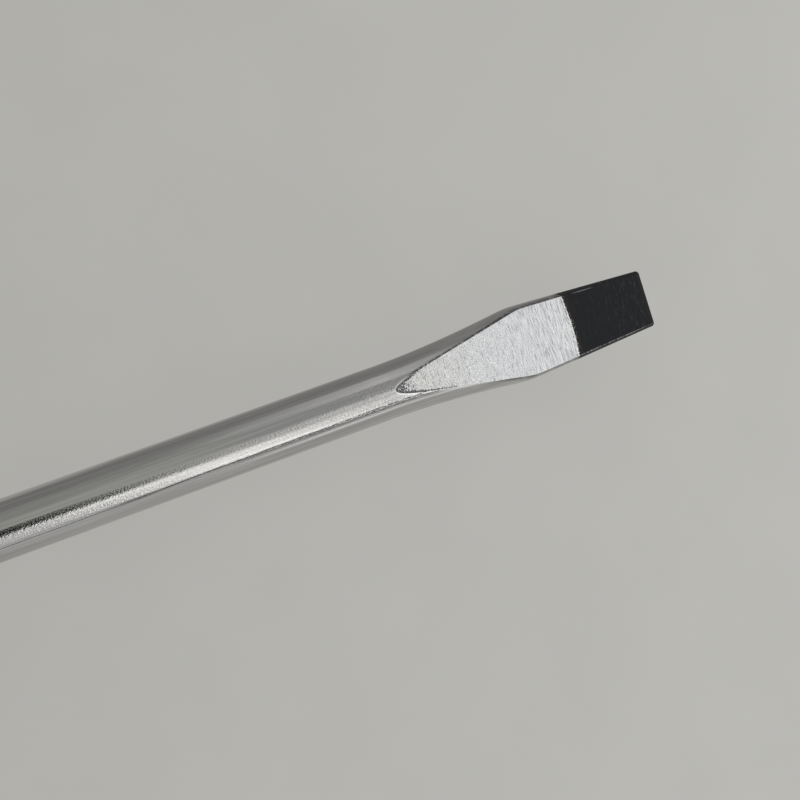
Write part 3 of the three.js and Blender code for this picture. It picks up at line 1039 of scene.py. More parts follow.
@dataclass
class Blade:
    """Plated shank that flares into a ground, black-dipped tip."""

    axis: ToolAxis
    tip_width: float = 6.5
    tip_thickness: float = 1.2
    tip_side_bulge: float = 0.29
    flare_width: float = 8.46
    flare_distance: float = 18.2
    flare_side_bulge: float = 0.46
    flare_rounding: float = 0.14
    flare_crown: float = 0.755
    sweep_power: float = 1.8
    crown_power: float = 2.4
    grind_length: float = 36.3
    shank_radius: float = 3.0
    length: float = 150.0
    tang_end: float = 76.4
    tang_point: float = 2.0
    wing_centre: float = 58.0
    wing_outline: Outline = ((8, 0), (4.5, 5.5), (-4.5, 5.5), (-8, 0), (-4.5, -5.5), (4.5, -5.5))
    wing_half_thickness: float = 1.1
    edge: float = 0.05
    edge_share: float = 0.3
    edge_steps: int = 6
    end_insets: Span = (0.15, 0.08)
    rim: float = 0.3
    flat_shares: Size = (1.0, 0.66, 0.33)
    dip_length: float = 11.3
    scuff_distance: float = 8.5
    level_slack: float = 0.015
    face_inset: float = 0.025
    end_zone: float = 0.03
    end_rim: float = 0.06
    edge_reach: float = 0.075
    side_steps: int = 40
    first_ring: float = 0.3
    flare_reach: float = 2.5
    ring_counts: tuple[int, int, int, int] = (26, 41, 70, 60)
    sweep_bias: float = 1.6
    crease: float = 35.0

    def from_tip(self, distance: float) -> float:
        """Where a distance from the tip lies along the shared frame, in metres."""
        return self.axis.front + (self.length - distance) * MM

    def section(self, from_tip: float) -> Size:
        """Outline of the blade at a distance from its tip.

        Args:
            from_tip: Distance from the tip.

        Returns:
            Half width, half width of the flat face, and half thickness.
        """
        if from_tip >= self.grind_length:
            return self.shank_radius, 0.0, self.shank_radius
        to_flare = from_tip / self.flare_distance
        to_shank = (self.grind_length - from_tip) / (self.grind_length - self.flare_distance)
        thickness = mix(self.tip_thickness / 2, self.shank_radius, from_tip / self.grind_length)
        straight = mix(self.tip_width, self.flare_width, to_flare) / 2
        swept = mix(self.shank_radius, self.flare_width / 2, to_shank**self.sweep_power)
        crown = self.shank_radius + self.flare_crown * to_shank**self.crown_power
        straight_face = straight - mix(self.tip_side_bulge, self.flare_side_bulge, to_flare)
        swept_face = swept * math.sqrt(max(0.0, 1 - (thickness / crown) ** 2))
        width = smooth_least(straight, swept, self.flare_rounding)
        face = max(0.0, smooth_least(straight_face, swept_face, self.flare_rounding))
        return width, face, thickness

    def ring(self, along: float, width: float, face: float, thickness: float) -> Points:
        """A ring of the blade: two flats, two convex sides, and finely rounded edges between them.

        Args:
            along: Distance in front of the handle.
            width: Half width.
            face: Half width of the flats.
            thickness: Half thickness.

        Returns:
            The ring's points.
        """
        bulge = width - face
        radius = (thickness**2 + bulge**2) / (2 * bulge)
        centre = width - radius
        reach = math.atan2(thickness, face - centre)
        edge = min(self.edge, face * self.edge_share)
        turn = np.linspace(-reach + edge / radius, reach - edge / radius, self.side_steps + 1)
        arc = np.stack([centre + radius * np.cos(turn), radius * np.sin(turn)], 1)
        flat = np.array((face - edge, thickness))
        peak = np.array((face, thickness))
        corner = [round_off(flat, peak, arc[-1], t) for t in (2 / 3, 1 / 3, 0)]
        inside = max(face - 2 * edge, 0.0)
        rim = max(inside - self.rim, 0.0)
        flats = [inside, *(rim * share for share in self.flat_shares)]
        top = np.array(corner + [np.array((across, thickness)) for across in flats])
        bottom = top[::-1] * (1, -1)
        side = np.concatenate([bottom, arc, top])
        outline = np.concatenate([side, -side])
        return np.concatenate([np.full((len(outline), 1), along), outline], 1)

    def stations(self) -> list[float]:
        """Distances from the tip at which the blade has rings."""
        near, flare, sweep, shank = self.ring_counts
        start, end = self.flare_distance - self.flare_reach, self.flare_distance + self.flare_reach
        nearing = np.linspace(1, 0, sweep)[1:] ** self.sweep_bias
        return [
            *np.linspace(self.first_ring, start, near),
            *np.linspace(start, end, flare)[1:],
            *(self.grind_length - (self.grind_length - end) * nearing),
            *np.linspace(self.grind_length, self.length + self.tang_end - self.tang_point, shank)[1:],
        ]

    def rings(self) -> Points:
        """All rings of the blade, from the flat of its tip to the end of its tang."""
        rounding = [(self.edge * (1 - math.cos(turn)), self.edge * (1 - math.sin(turn)))
                    for turn in np.linspace(0, math.pi / 2, self.edge_steps)]
        rings = []
        for distance, inset in [*((0.0, inset) for inset in self.end_insets), *rounding]:
            width, face, thickness = self.section(distance)
            rings.append(self.ring(self.length - distance, width - inset, face - inset, thickness - inset))
        for distance in self.stations():
            rings.append(self.ring(self.length - distance, *self.section(distance)))
        point = self.shank_radius - self.tang_point / 2
        rings.append(self.ring(-self.tang_end, point, 0.0, point))
        return np.array(rings)

    def wings(self) -> Piece:
        """The forged wings of the tang."""
        plate = [[(x - self.wing_centre, y, z) for x, y in self.wing_outline]
                 for z in (-self.wing_half_thickness, self.wing_half_thickness)]
        return loft_object("wings", np.array(plate, float), Ends.CAPPED, self.axis)

    def build(self) -> Piece:
        """Build the blade.

        Returns:
            The blade with its tang, without its finishes.
        """
        piece = loft_object("blade_steel", self.rings(), Ends.CAPPED, self.axis)
        combine(piece, self.wings(), Cut.JOIN)
        self.mark_edges(piece)
        shade(piece, self.crease)
        return piece

    def mark_edges(self, piece: Piece) -> None:
        """Mark the rounded edges, where the coat wears, and how far a point lies from the rim of the flats.

        The distance is in millimetres, and less than nothing on the flats.

        Args:
            piece: The blade.
        """
        edges = piece.data.attributes.new("edge", "FLOAT", "POINT")
        rims = piece.data.attributes.new("rim", "FLOAT", "POINT")
        for vertex, edge, rim in zip(piece.data.vertices, edges.data, rims.data):
            from_tip, across, up = self.beside_flat(vertex.co)
            behind = max(0.0, from_tip - self.grind_length)
            on_flat = across < 0 and up > -self.level_slack
            rim.value = across if on_flat else math.hypot(across, up, behind)
            if from_tip < self.end_zone:
                worn = max(abs(vertex.co.y) / MM - self.tip_width / 2, up) > -self.end_rim
            else:
                worn = not behind and abs(rim.value) < self.edge_reach
            edge.value = float(worn)

    def beside_flat(self, point: Vector) -> Size:
        """Where a point of the blade lies beside the nearer flat.

        Args:
            point: The point, in the shared frame.

        Returns:
            Its distance from the tip, how far it lies outside the flat's rim, and its height over the flat.
        """
        from_tip = (self.from_tip(0.0) - point.x) / MM
        _, face, thickness = self.section(from_tip)
        return from_tip, abs(point.y) / MM - face, abs(point.z - self.axis.height) / MM - thickness

    def is_ground(self, centre: Vector) -> bool:
        """Whether a face with this centre lies on one of the two flats."""
        from_tip, across, up = self.beside_flat(centre)
        return from_tip <= self.grind_length and abs(up) < self.level_slack and across < -self.face_inset

    def dress(self, piece: Piece) -> None:
        """Give the shank, the ground faces and the dipped tip their finishes."""
        dip = BlackDip(self.from_tip(self.dip_length), self.from_tip(0.0), self.from_tip(self.scuff_distance))
        apex = self.from_tip(self.grind_length)
        shank = PlatedSteel(dip, self.axis, apex, self.from_tip(self.flare_distance), self.shank_radius)
        paint(piece, shank.material(), GroundSteel(dip, apex).material())
        for polygon in piece.data.polygons:
            polygon.material_index = int(self.is_ground(polygon.center))
        hand_over(piece, ["blade"])


@dataclass
class Bolster:
    """Hexagonal bolster for a wrench, in front of the handle."""

    axis: ToolAxis
    half: float = 5.0
    corner: float = 0.35
    length: float = 9.0
    chamfer: float = 0.7
    chamfer_steps: int = 16
    gap: float = 0.3
    bore: float = 3.08
    bore_edge: float = 0.15
    bore_rounding: float = 0.045
    face_inset: float = 0.12
    count: int = 288
    crease: float = 28.0

    def build(self) -> Piece:
        """Build the bolster.

        Returns:
            A hexagon with turned chamfers and a bore.
        """
        angle = full_turn(self.count)
        across = hex_radius(angle, self.half, self.corner)
        widest = self.half / math.cos(SECTOR / 2)
        narrow = self.half - self.chamfer / 2
        cone = [(self.chamfer * t, mix(narrow, widest, t)) for t in np.linspace(0, 1, self.chamfer_steps)]
        front = self.gap + self.length
        mouth = self.bore + self.bore_edge
        outline = [
            *((self.gap + along, radius) for along, radius in cone),
            *((front - along, radius) for along, radius in reversed(cone)),
            (front, narrow - self.face_inset),
            (front, mouth),
            (front - self.bore_rounding, self.bore + self.bore_rounding),
            (front - self.bore_edge, self.bore),
            (self.gap + self.bore_edge, self.bore),
            (self.gap, mouth),
        ]
        rings = [round_ring(along, np.minimum(across, limit), angle) for along, limit in outline]
        piece = loft_object("bolster_steel", np.array(rings), Ends.LOOPED, self.axis)
        shade(piece, self.crease)
        return piece

    def dress(self, piece: Piece) -> None:
        """Give the bolster its finish."""
        paint(piece, TurnedSteel().material())
        hand_over(piece, ["bolster"])


@dataclass
class Belly:
    """Outline of the handle's belly, and of the soft inlays along its corners."""

    start: float = 40.0
    rise: float = 18.0
    flat: float = 26.0
    fall: float = 12.0
    neck: float = 11.0
    half: float = 15.0
    corner: float = 7.0
    end_half: float = 13.4
    end_corner: float = 8.0
    inlay_count: int = 6
    inlay_half_width: float = 4.5
    inlay_ledge: float = 3.0
    inlay_margin: float = 7.0

    @property
    def end(self) -> float:
        """Where the belly meets the cap."""
        return self.start + self.rise + self.flat + self.fall

    @property
    def middle(self) -> float:
        """Middle of the belly's length."""
        return (self.start + self.end) / 2

    def section(self, back: float) -> Stop:
        """The belly's outline.

        Args:
            back: Distance behind the handle's front.

        Returns:
            The section there.
        """
        fall = (back - self.end + self.fall) / self.fall
        if fall > 0:
            return Stop(back, mix(self.half, self.end_half, fall**2), mix(self.corner, self.end_corner, fall))
        share = ease(min(1.0, max(0.0, (back - self.start) / self.rise)))
        return Stop(back, mix(self.neck, self.half, share), mix(self.neck, self.corner, share))

    def crest(self, back: float, across: float) -> float:
        """Height of the belly over the axis beside one of its corners.

        Args:
            back: Distance behind the handle's front.
            across: Distance to the side of the corner's middle.

        Returns:
            The height along the corner's direction.
        """
        stop = self.section(back)
        centre = (stop.half - stop.corner) / math.cos(SECTOR / 2)
        tangent = stop.corner * math.sin(SECTOR / 2)
        if abs(across) <= tangent:
            return centre + math.sqrt(stop.corner**2 - across**2)
        return centre + stop.corner * math.cos(SECTOR / 2) - (abs(across) - tangent) * math.tan(SECTOR / 2)

    def stadium(self, grow: float, straight: int = 150, bow: int = 28) -> Points:
        """Outline of an inlay in plan.

        Args:
            grow: How far the outline is moved outwards.
            straight: Points along each straight side.
            bow: Points round each end.

        Returns:
            Distances behind the handle's front, and distances to the side.
        """
        radius = self.inlay_half_width
        reach = (self.end - self.start) / 2 - self.inlay_margin - radius
        line = np.linspace(-reach, reach, straight)
        turn = np.linspace(-math.pi / 2, math.pi / 2, bow)[1:-1]
        wide = radius + grow
        side = np.stack([line, np.full(straight, wide)], 1)
        end = np.stack([reach + wide * np.cos(turn), -wide * np.sin(turn)], 1)
        half = np.concatenate([side, end])
        return np.concatenate([half, -half]) + (self.middle, 0.0)

    def rim_ring(self, grow: float, level: float) -> Points:
        """A ring round an inlay that follows the belly.

        Args:
            grow: How far the ring lies outside the inlay's outline.
            level: Height over the belly.

        Returns:
            The ring's points, about the tool's axis, on the corner at +Y.
        """
        return np.array([(-back, self.crest(back, across) + level, across)
                         for back, across in self.stadium(grow)])

    def floor_rings(self, level: float) -> list[Points]:
        """Rings that close an inlay's outline at one level, from its middle line outwards."""
        return [self.rim_ring(-inset, level) for inset in (self.inlay_half_width, self.inlay_ledge)]


def start_tree(name: str, inputs: dict[str, Kind]) -> tuple[Tree, NodePen, bpy.types.NodeOutputs]:
    """Start a tree of geometry nodes.

    Args:
        name: Name of the tree.
        inputs: Kinds of its inputs, by name.

    Returns:
        The tree, a pen for its nodes, and the sockets of its inputs.
    """
    tree = bpy.data.node_groups.new(name, "GeometryNodeTree")
    tree.interface.new_socket("Geometry", in_out="OUTPUT", socket_type=Kind.SHAPE.value)
    for socket, kind in inputs.items():
        tree.interface.new_socket(socket, in_out="INPUT", socket_type=kind.value)
    pen = NodePen(tree)
    return tree, pen, pen.node("NodeGroupInput").outputs


def end_tree(pen: NodePen, shape: Socket, material: Socket) -> None:
    """End a tree of geometry nodes with real copies, in a material."""
    real = pen.node("GeometryNodeRealizeInstances", {"Geometry": shape}).outputs[0]
    dressed = pen.node("GeometryNodeSetMaterial", {"Geometry": real, "Material": material}).outputs[0]
    pen.node("NodeGroupOutput", {0: dressed})


def run_tree(piece: Piece, tree: Tree, values: dict[str, object]) -> None:
    """Run geometry nodes on a piece and keep the result as a plain mesh.

    Args:
        piece: The piece that carries the tree.
        tree: The node tree.
        values: Values of the tree's named inputs.
    """
    step = piece.modifiers.new(tree.name, "NODES")
    step.node_group = tree
    for item in tree.interface.items_tree:
        if item.in_out == "INPUT" and item.name in values:
            step[item.identifier] = values[item.name]
    settle(piece)
    tidy_mesh(piece)


def ring_array_tree(name: str, grooved: bool) -> Tree:
    """Geometry nodes that set copies of a shape round the tool's axis.

    Args:
        name: Name of the tree.
        grooved: Whether grooves are pressed across the top of each copy.

    Returns:
        The node tree.
    """
    inputs = {"Geometry": Kind.SHAPE, "Count": Kind.COUNT, "Lift": Kind.PLACE, "Material": Kind.FINISH}
    if grooved:
        grooves = ("Groove Pitch", "Groove Depth", "Groove Start", "Groove Sharpness")
        inputs |= dict.fromkeys(grooves, Kind.NUMBER)
    tree, pen, given = start_tree(name, inputs)
    shape = given["Geometry"]
    if grooved:
        position = pen.node("GeometryNodeInputPosition").outputs[0]
        along = pen.minus(pen.split(position)[0], given["Groove Start"])
        groove = pen.crests(pen.math("DIVIDE", along, given["Groove Pitch"]), given["Groove Sharpness"])
        crown = pen.node("GeometryNodeInputNamedAttribute", {"Name": "crown"}, data_type="FLOAT").outputs[0]
        press = pen.times(groove, crown, given["Groove Depth"], -1.0)
        drop = pen.node("ShaderNodeCombineXYZ", {1: press}).outputs[0]
        shape = pen.node("GeometryNodeSetPosition", {"Geometry": shape, "Offset": drop}).outputs[0]
    spots = pen.node("GeometryNodePoints", {"Count": given["Count"]}).outputs[0]
    step = pen.math("DIVIDE", FULL_TURN, given["Count"])
    turn = pen.times(pen.node("GeometryNodeInputIndex").outputs[0], step)
    around = pen.node("ShaderNodeCombineXYZ", {0: turn}).outputs[0]
    spread = {"Points": spots, "Instance": shape, "Rotation": around}
    copies = pen.node("GeometryNodeInstanceOnPoints", spread).outputs[0]
    lifted = pen.node("GeometryNodeTransform", {"Geometry": copies, "Translation": given["Lift"]}).outputs[0]
    end_tree(pen, lifted, given["Material"])
    return tree


@dataclass
class GripInlays:
    """Six soft inlays with grooves across them, one along each corner of the belly."""

    axis: ToolAxis
    belly: Belly
    depth: float = 1.5
    grow: float = 0.14
    groove_pitch: float = 4.0
    groove_depth: float = 0.5
    groove_sharpness: float = 7.0
    shoulder: Outline = ((0.0, -0.30), (-0.04, -0.16), (-0.13, -0.06), (-0.28, 0.0))
    inner_rings: int = 14
    crown_rings: int = 2
    crease: float = 40.0

    def build(self) -> Piece:
        """Build one inlay.

        Returns:
            The inlay on the corner at +Y, with a mark that tells how far grooves reach into its top.
        """
        belly = self.belly
        rings = [*belly.floor_rings(-self.depth), belly.rim_ring(self.grow, -self.depth)]
        rings += [belly.rim_ring(self.grow + grow, level) for grow, level in self.shoulder]
        sides = len(rings)
        first = self.grow + self.shoulder[-1][0]
        inner = np.linspace(first, -belly.inlay_half_width, self.inner_rings + 1)[1:]
        rings += [belly.rim_ring(grow, 0.0) for grow in inner]
        stack = np.array(rings)
        points, faces = loft(stack, Ends.OPEN)
        crown = np.zeros(stack.shape[:2])
        for row in range(sides, len(rings)):
            crown[row] = min(1.0, (row - sides + 1) / self.crown_rings)
        return make_object("grip_inlays", self.axis.level(points), faces, {"crown": crown})

    def dress(self, piece: Piece, material: Material) -> None:
        """Set the inlays round the handle, in the soft material."""
        count = self.belly.inlay_count
        run_tree(piece, ring_array_tree("grooved_inlays", True), {
            "Count": count,
            "Lift": self.axis.lift,
            "Material": material,
            "Groove Pitch": self.groove_pitch * MM,
            "Groove Depth": self.groove_depth * MM,
            "Groove Start": self.axis.front - self.belly.middle * MM,
            "Groove Sharpness": self.groove_sharpness,
        })
        shade(piece, self.crease)
        hand_over(piece, [f"grip_inlay_{i + 1}" for i in range(count)])


@dataclass
class HandleBody:
    """Hard moulded body of the handle: nose, anti-roll flange, seat of the finger grip, and belly."""

    axis: ToolAxis
    belly: Belly
    nose_front: float = 6.9
    nose_root: float = 9.2
    nose_length: float = 5.0
    nose_rounding: float = 0.8
    root_rounding: float = 1.2
    shank_hole: float = 3.3
    hole_chamfer: float = 0.25
    flange_half: float = 15.0
    flange_corner: float = 4.0
    flange_edge: float = 1.1
    flange_slope: float = 1.4
    flange_end: float = 14.0
    flange_front_rounding: float = 0.7
    flange_rounding: float = 0.9
    flange_rear_rounding: float = 0.6
    seat: float = 8.1
    seat_rounding: float = 0.2
    belly_rounding: float = 0.4
    belly_margins: Span = (0.5, 0.4)
    belly_sections: int = 96
    core_step: float = 44.0
    sleeve: float = 5.5
    core_half: float = 7.7
    core_corner: float = 2.3
    core_chamfer: float = 0.5
    core_rounding: float = 0.3
    nose_wall: float = 2.0
    pocket_depth: float = 1.8
    pocket_rim: Outline = ((0.48, 1.5), (0.48, 0.05), (0.40, -0.04), (0.31, -0.13), (0.28, -0.28))
    count: int = 216
    crease: float = 32.0
    finish: MouldedPlastic = MouldedPlastic(
        "slate_plastic", (0.048, 0.075, 0.098, 1), (0.062, 0.093, 0.118, 1), roughness=0.4)

    def outline(self) -> list[Stop]:
        """Sections of the body, out along its outside and back along its bore."""
        belly = self.belly
        wide, inset = self.flange_half, self.flange_half - self.flange_edge
        front = self.nose_length + self.flange_slope
        first, last = belly.start + self.belly_margins[0], belly.end - self.belly_margins[1]
        swell = [belly.section(back) for back in np.linspace(first, last, self.belly_sections)]
        rear = belly.section(belly.end)
        mouth_half, mouth_corner = self.core_half + self.core_chamfer, self.core_corner + self.core_chamfer
        stops = [
            Stop.round(self.hole_chamfer, self.shank_hole),
            Stop.round(0, self.shank_hole + self.hole_chamfer),
            Stop.round(0, self.nose_front, self.nose_rounding),
            Stop.round(self.nose_length, self.nose_root, self.root_rounding),
            Stop(front, inset, self.flange_corner, self.flange_front_rounding),
            Stop(front + self.flange_edge, wide, self.flange_corner, self.flange_rounding),
            Stop(self.flange_end - self.flange_edge, wide, self.flange_corner, self.flange_rounding),
            Stop(self.flange_end, inset, self.flange_corner, self.flange_rear_rounding),
            Stop.round(self.flange_end, self.seat, self.seat_rounding),
            Stop.round(belly.start, self.seat, self.seat_rounding),
            Stop.round(belly.start, belly.neck, self.belly_rounding),
            *swell,
            Stop(belly.end, rear.half, rear.corner, self.belly_rounding),
            Stop(belly.end, mouth_half, mouth_corner, self.core_rounding),
            Stop(belly.end - self.core_chamfer, self.core_half, self.core_corner),
            Stop(self.core_step, self.core_half, self.core_corner),
            Stop.round(self.core_step, self.sleeve),
            Stop.round(self.nose_wall, self.sleeve),
            Stop.round(self.nose_wall, self.shank_hole),
        ]
        return softened(stops)

    def pockets(self) -> Piece:
        """Shapes that cut the six pockets of the inlays, with rounded rims."""
        belly = self.belly
        rings = belly.floor_rings(self.pocket_rim[0][1])
        rings += [belly.rim_ring(grow, level) for grow, level in self.pocket_rim]
        rings.append(belly.rim_ring(self.pocket_rim[-1][0], -self.pocket_depth))
        rings += reversed(belly.floor_rings(-self.pocket_depth))
        points, faces = loft(np.array(rings), Ends.OPEN)
        piece = make_object("pockets", self.axis.level(points), faces)
        values = {"Count": belly.inlay_count, "Lift": self.axis.lift}
        run_tree(piece, ring_array_tree("pocket_ring", False), values)
        return piece

    def build(self) -> Piece:
        """Build the body.

        Returns:
            The body with its bore and its six pockets.
        """
        piece = loft_object("handle_shell", hex_rings(self.outline(), self.count), Ends.LOOPED, self.axis)
        combine(piece, self.pockets(), Cut.TAKE_AWAY)
        shade(piece, self.crease)
        return piece

    def dress(self, piece: Piece) -> None:
        """Give the body its finish."""
        paint(piece, self.finish.material())
        hand_over(piece, ["handle_body"])


@dataclass
class FingerGrip:
    """Soft ribbed sleeve in the neck of the handle."""

    axis: ToolAxis
    start: float = 14.0
    length: float = 26.0
    gap: float = 0.2
    waist: float = 11.0
    front_radius: float = 12.5
    waist_radius: float = 10.2
    rear_radius: float = 11.0
    bore: float = 8.2
    rib_count: int = 7
    rib_height: float = 0.55
    rib_sharpness: float = 4.5
    rings: int = 225
    segments: int = 168
    crease: float = 40.0

    def tree(self) -> Tree:
        """Geometry nodes that draw the sleeve from its sizes.

        Returns:
            The node tree.
        """
        lengths = ("Waist", "Front Radius", "Waist Radius", "Rear Radius", "Bore", "Length")
        tree, pen, given = start_tree("ribbed_sleeve", {
            **dict.fromkeys(("Front", "Rear"), Kind.PLACE),
            **dict.fromkeys((*lengths, "Rib Height", "Rib Sharpness"), Kind.NUMBER),
            **dict.fromkeys(("Ribs", "Rings", "Segments"), Kind.COUNT),
            "Material": Kind.FINISH,
        })
        ends = {"Start": given["Front"], "End": given["Rear"]}
        line = pen.node("GeometryNodeCurvePrimitiveLine", ends).outputs[0]
        spine = pen.node("GeometryNodeResampleCurve", {"Curve": line, "Count": given["Rings"]}).outputs[0]
        share = pen.node("GeometryNodeSplineParameter").outputs["Factor"]
        before = pen.math("DIVIDE", pen.minus(given["Waist"], share), given["Waist"], clamp=True)
        flared = pen.math("POWER", before, 2.0)
        behind = pen.ramp(share, given["Waist"], 1.0)
        outline = given["Waist Radius"]
        for part, radius in ((flared, given["Front Radius"]), (behind, given["Rear Radius"])):
            outline = pen.plus(outline, pen.times(part, pen.minus(radius, given["Waist Radius"])))
        valleys = pen.crests(pen.times(share, given["Ribs"]), given["Rib Sharpness"])
        radius = pen.minus(outline, pen.times(valleys, given["Rib Height"]))
        swollen = pen.node("GeometryNodeSetCurveRadius", {"Curve": spine, "Radius": radius}).outputs[0]
        round_profile = {"Resolution": given["Segments"], "Radius": 1.0}
        tube = pen.node("GeometryNodeCurveToMesh", {
            "Curve": swollen,
            "Profile Curve": pen.node("GeometryNodeCurvePrimitiveCircle", round_profile).outputs[0],
            "Scale": pen.node("GeometryNodeInputRadius").outputs[0],
            "Fill Caps": True,
        })
        hole = pen.node("GeometryNodeMeshCylinder", {
            "Vertices": given["Segments"],
            "Radius": given["Bore"],
            "Depth": pen.times(given["Length"], 2.0),
        })
        both = pen.node("ShaderNodeVectorMath", {0: given["Front"], 1: given["Rear"]}, operation="ADD")
        centre = pen.node("ShaderNodeVectorMath", {0: both.outputs[0], "Scale": 0.5}, operation="SCALE")
        laid = pen.node("GeometryNodeTransform", {
            "Geometry": hole.outputs[0],
            "Translation": centre.outputs[0],
            "Rotation": (0.0, math.pi / 2, 0.0),
        })
        both_meshes = {0: tube.outputs[0], 1: laid.outputs[0]}
        bored = pen.node("GeometryNodeMeshBoolean", both_meshes, operation="DIFFERENCE", solver="EXACT")
        end_tree(pen, bored.outputs[0], given["Material"])
        return tree

    def build(self) -> Piece:
        """Start the sleeve as an empty mesh, which its node tree fills."""
        return add_object("finger_sleeve", bpy.data.meshes.new("finger_sleeve"))

    def dress(self, piece: Piece, material: Material) -> None:
        """Draw the sleeve in the soft material."""
        front = self.axis.front - (self.start + self.gap) * MM
        rear = self.axis.front - (self.start + self.length - self.gap) * MM
        run_tree(piece, self.tree(), {
            "Front": (front, 0.0, self.axis.height),
            "Rear": (rear, 0.0, self.axis.height),
            "Waist": self.waist / self.length,
            "Front Radius": self.front_radius * MM,
            "Waist Radius": self.waist_radius * MM,
            "Rear Radius": self.rear_radius * MM,
            "Bore": self.bore * MM,
            "Length": self.length * MM,
            "Rib Height": self.rib_height * MM,
            "Rib Sharpness": self.rib_sharpness,
            "Ribs": self.rib_count,
            "Rings": self.rings,
            "Segments": self.segments,
            "Material": material,
        })
        shade(piece, self.crease)
        hand_over(piece, ["finger_grip"])


@dataclass
class ButtCap:
    """Domed cap at the handle's end, with a hang hole through it."""

    axis: ToolAxis
    start: float = 96.0
    end: float = 114.0
    gap: float = 0.15
    joint_half: float = 13.4
    joint_corner: float = 8.0
    joint_lip: float = 0.8
    joint_rounding: float = 0.4
    dome: float = 2.2
    dome_sections: int = 60
    end_radius: float = 6.0
    end_rounding: float = 1.0
    end_insets: Span = (0.6, 2.0)
    spigot_start: float = 80.0
    spigot_half: float = 7.4
    spigot_corner: float = 2.0
    spigot_chamfer: float = 0.5
    hole_radius: float = 4.0
    hole_back: float = 105.0
    hole_count: int = 96
    mouth_level: float = 10.4
    mouth_rounding: float = 2.4
    mouth_steps: int = 14
    overshoot: float = 2.0
    count: int = 216
    crease: float = 32.0
    finish: MouldedPlastic = MouldedPlastic(
        "cap_plastic", (0.0225, 0.0265, 0.031, 1), (0.032, 0.036, 0.041, 1), roughness=0.42)

    def outline(self) -> list[Stop]:
        """Sections of the cap, from the end of its spigot over its dome."""
        front = self.start + self.gap
        dome = []
        for share in 1 - np.linspace(1, 0, self.dome_sections) ** 2:
            full = (1 - share**self.dome) ** (1 / self.dome)
            half = mix(self.end_radius, self.joint_half, full)
            corner = mix(self.end_radius, self.joint_corner, full)
            dome.append(Stop(mix(front, self.end, share), half, corner))
        edge = dome[0]
        stops = [
            Stop(self.spigot_start, self.spigot_half - self.spigot_chamfer, self.spigot_corner),
            Stop(self.spigot_start + self.spigot_chamfer, self.spigot_half, self.spigot_corner),
            Stop(front, self.spigot_half, self.spigot_corner),
            Stop(front, edge.half - self.joint_lip, edge.corner - self.joint_lip),
            Stop(front, edge.half, edge.corner, self.joint_rounding),
            *dome[2:-1],
            Stop.round(self.end, self.end_radius, self.end_rounding),
            *(Stop.round(self.end, self.end_radius - inset) for inset in self.end_insets),
        ]
        return softened(stops)

    def hole(self) -> Piece:
        """The shape that cuts the hang hole, flared at both mouths."""
        rounding = self.mouth_rounding
        profile = []
        for turn in np.linspace(0, math.pi / 2, self.mouth_steps):
            rise = rounding * math.sin(turn)
            radius = self.hole_radius + rounding - math.sqrt(rounding**2 - rise * rise)
            profile.append((radius, self.mouth_level + rise))
        profile.append((profile[-1][0], self.mouth_level + rounding + self.overshoot))
        profile = [(radius, -level) for radius, level in reversed(profile)] + profile
        angle = full_turn(self.hole_count)
        rings = [round_ring(level, radius, angle)[:, (1, 2, 0)] for radius, level in profile]
        return loft_object("hang_hole", np.array(rings) - (self.hole_back, 0.0, 0.0), Ends.CAPPED, self.axis)

    def build(self) -> Piece:
        """Build the cap.

        Returns:
            The cap with its spigot and hang hole.
        """
        piece = loft_object("cap_shell", hex_rings(self.outline(), self.count), Ends.CAPPED, self.axis)
        combine(piece, self.hole(), Cut.TAKE_AWAY)
        shade(piece, self.crease)
        return piece

    def dress(self, piece: Piece) -> None:
        """Give the cap its finish."""
        paint(piece, self.finish.material())
        hand_over(piece, ["butt_cap"])


@dataclass
class InnerCore:
    """Core round the tang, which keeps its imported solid."""

    finish: MouldedPlastic = MouldedPlastic(
        "core_plastic", (0.23, 0.26, 0.28, 1), (0.28, 0.31, 0.33, 1), roughness=0.5)

    def dress(self) -> None:
        """Give the hidden core a moulded finish."""
        paint(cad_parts["inner_core"], self.finish.material())
        log.info("inner_core keeps its solid")


@dataclass(frozen=True)
class Card:
    """A soft card or gap in the studio, placed by its angle round the tool's axis and its reach along it.

    Angles run in degrees from overhead towards -Y. The reach is the part of a direction that runs along +X.
    Soft and fade are the widths of the borders in angle and in reach. Slant moves the two angles by so many
    degrees for each unit of reach, within the stretch of reach that lean gives.
    """

    name: str
    tone: float
    angles: Span
    reach: Span
    soft: Span
    fade: Span
    slant: Span = (0.0, 0.0)
    lean: Span = (0.40, 1.0)

    def share(self, pen: NodePen, turn: Socket, along: Socket) -> Socket:
        """How much of a direction the card covers.

        Args:
            pen: Pen of the world's nodes.
            turn: Angle round the tool's axis, in degrees.
            along: Part of the direction along +X.

        Returns:
            1 on the card and 0 beside it.
        """
        leaning = pen.ramp(along, *self.lean, 0.0, self.lean[1] - self.lean[0], Curve.EVEN)
        borders = []
        for angle, soft, slant, ends in zip(self.angles, self.soft, self.slant, ((0, 1), (1, 0))):
            leaned = pen.minus(turn, pen.times(leaning, slant))
            borders.append(pen.ramp(leaned, angle - soft / 2, angle + soft / 2, *ends))
        for edge, fade, ends in zip(self.reach, self.fade, ((0, 1), (1, 0))):
            borders.append(pen.ramp(along, edge - fade, edge + fade, *ends))
        return pen.times(*borders)


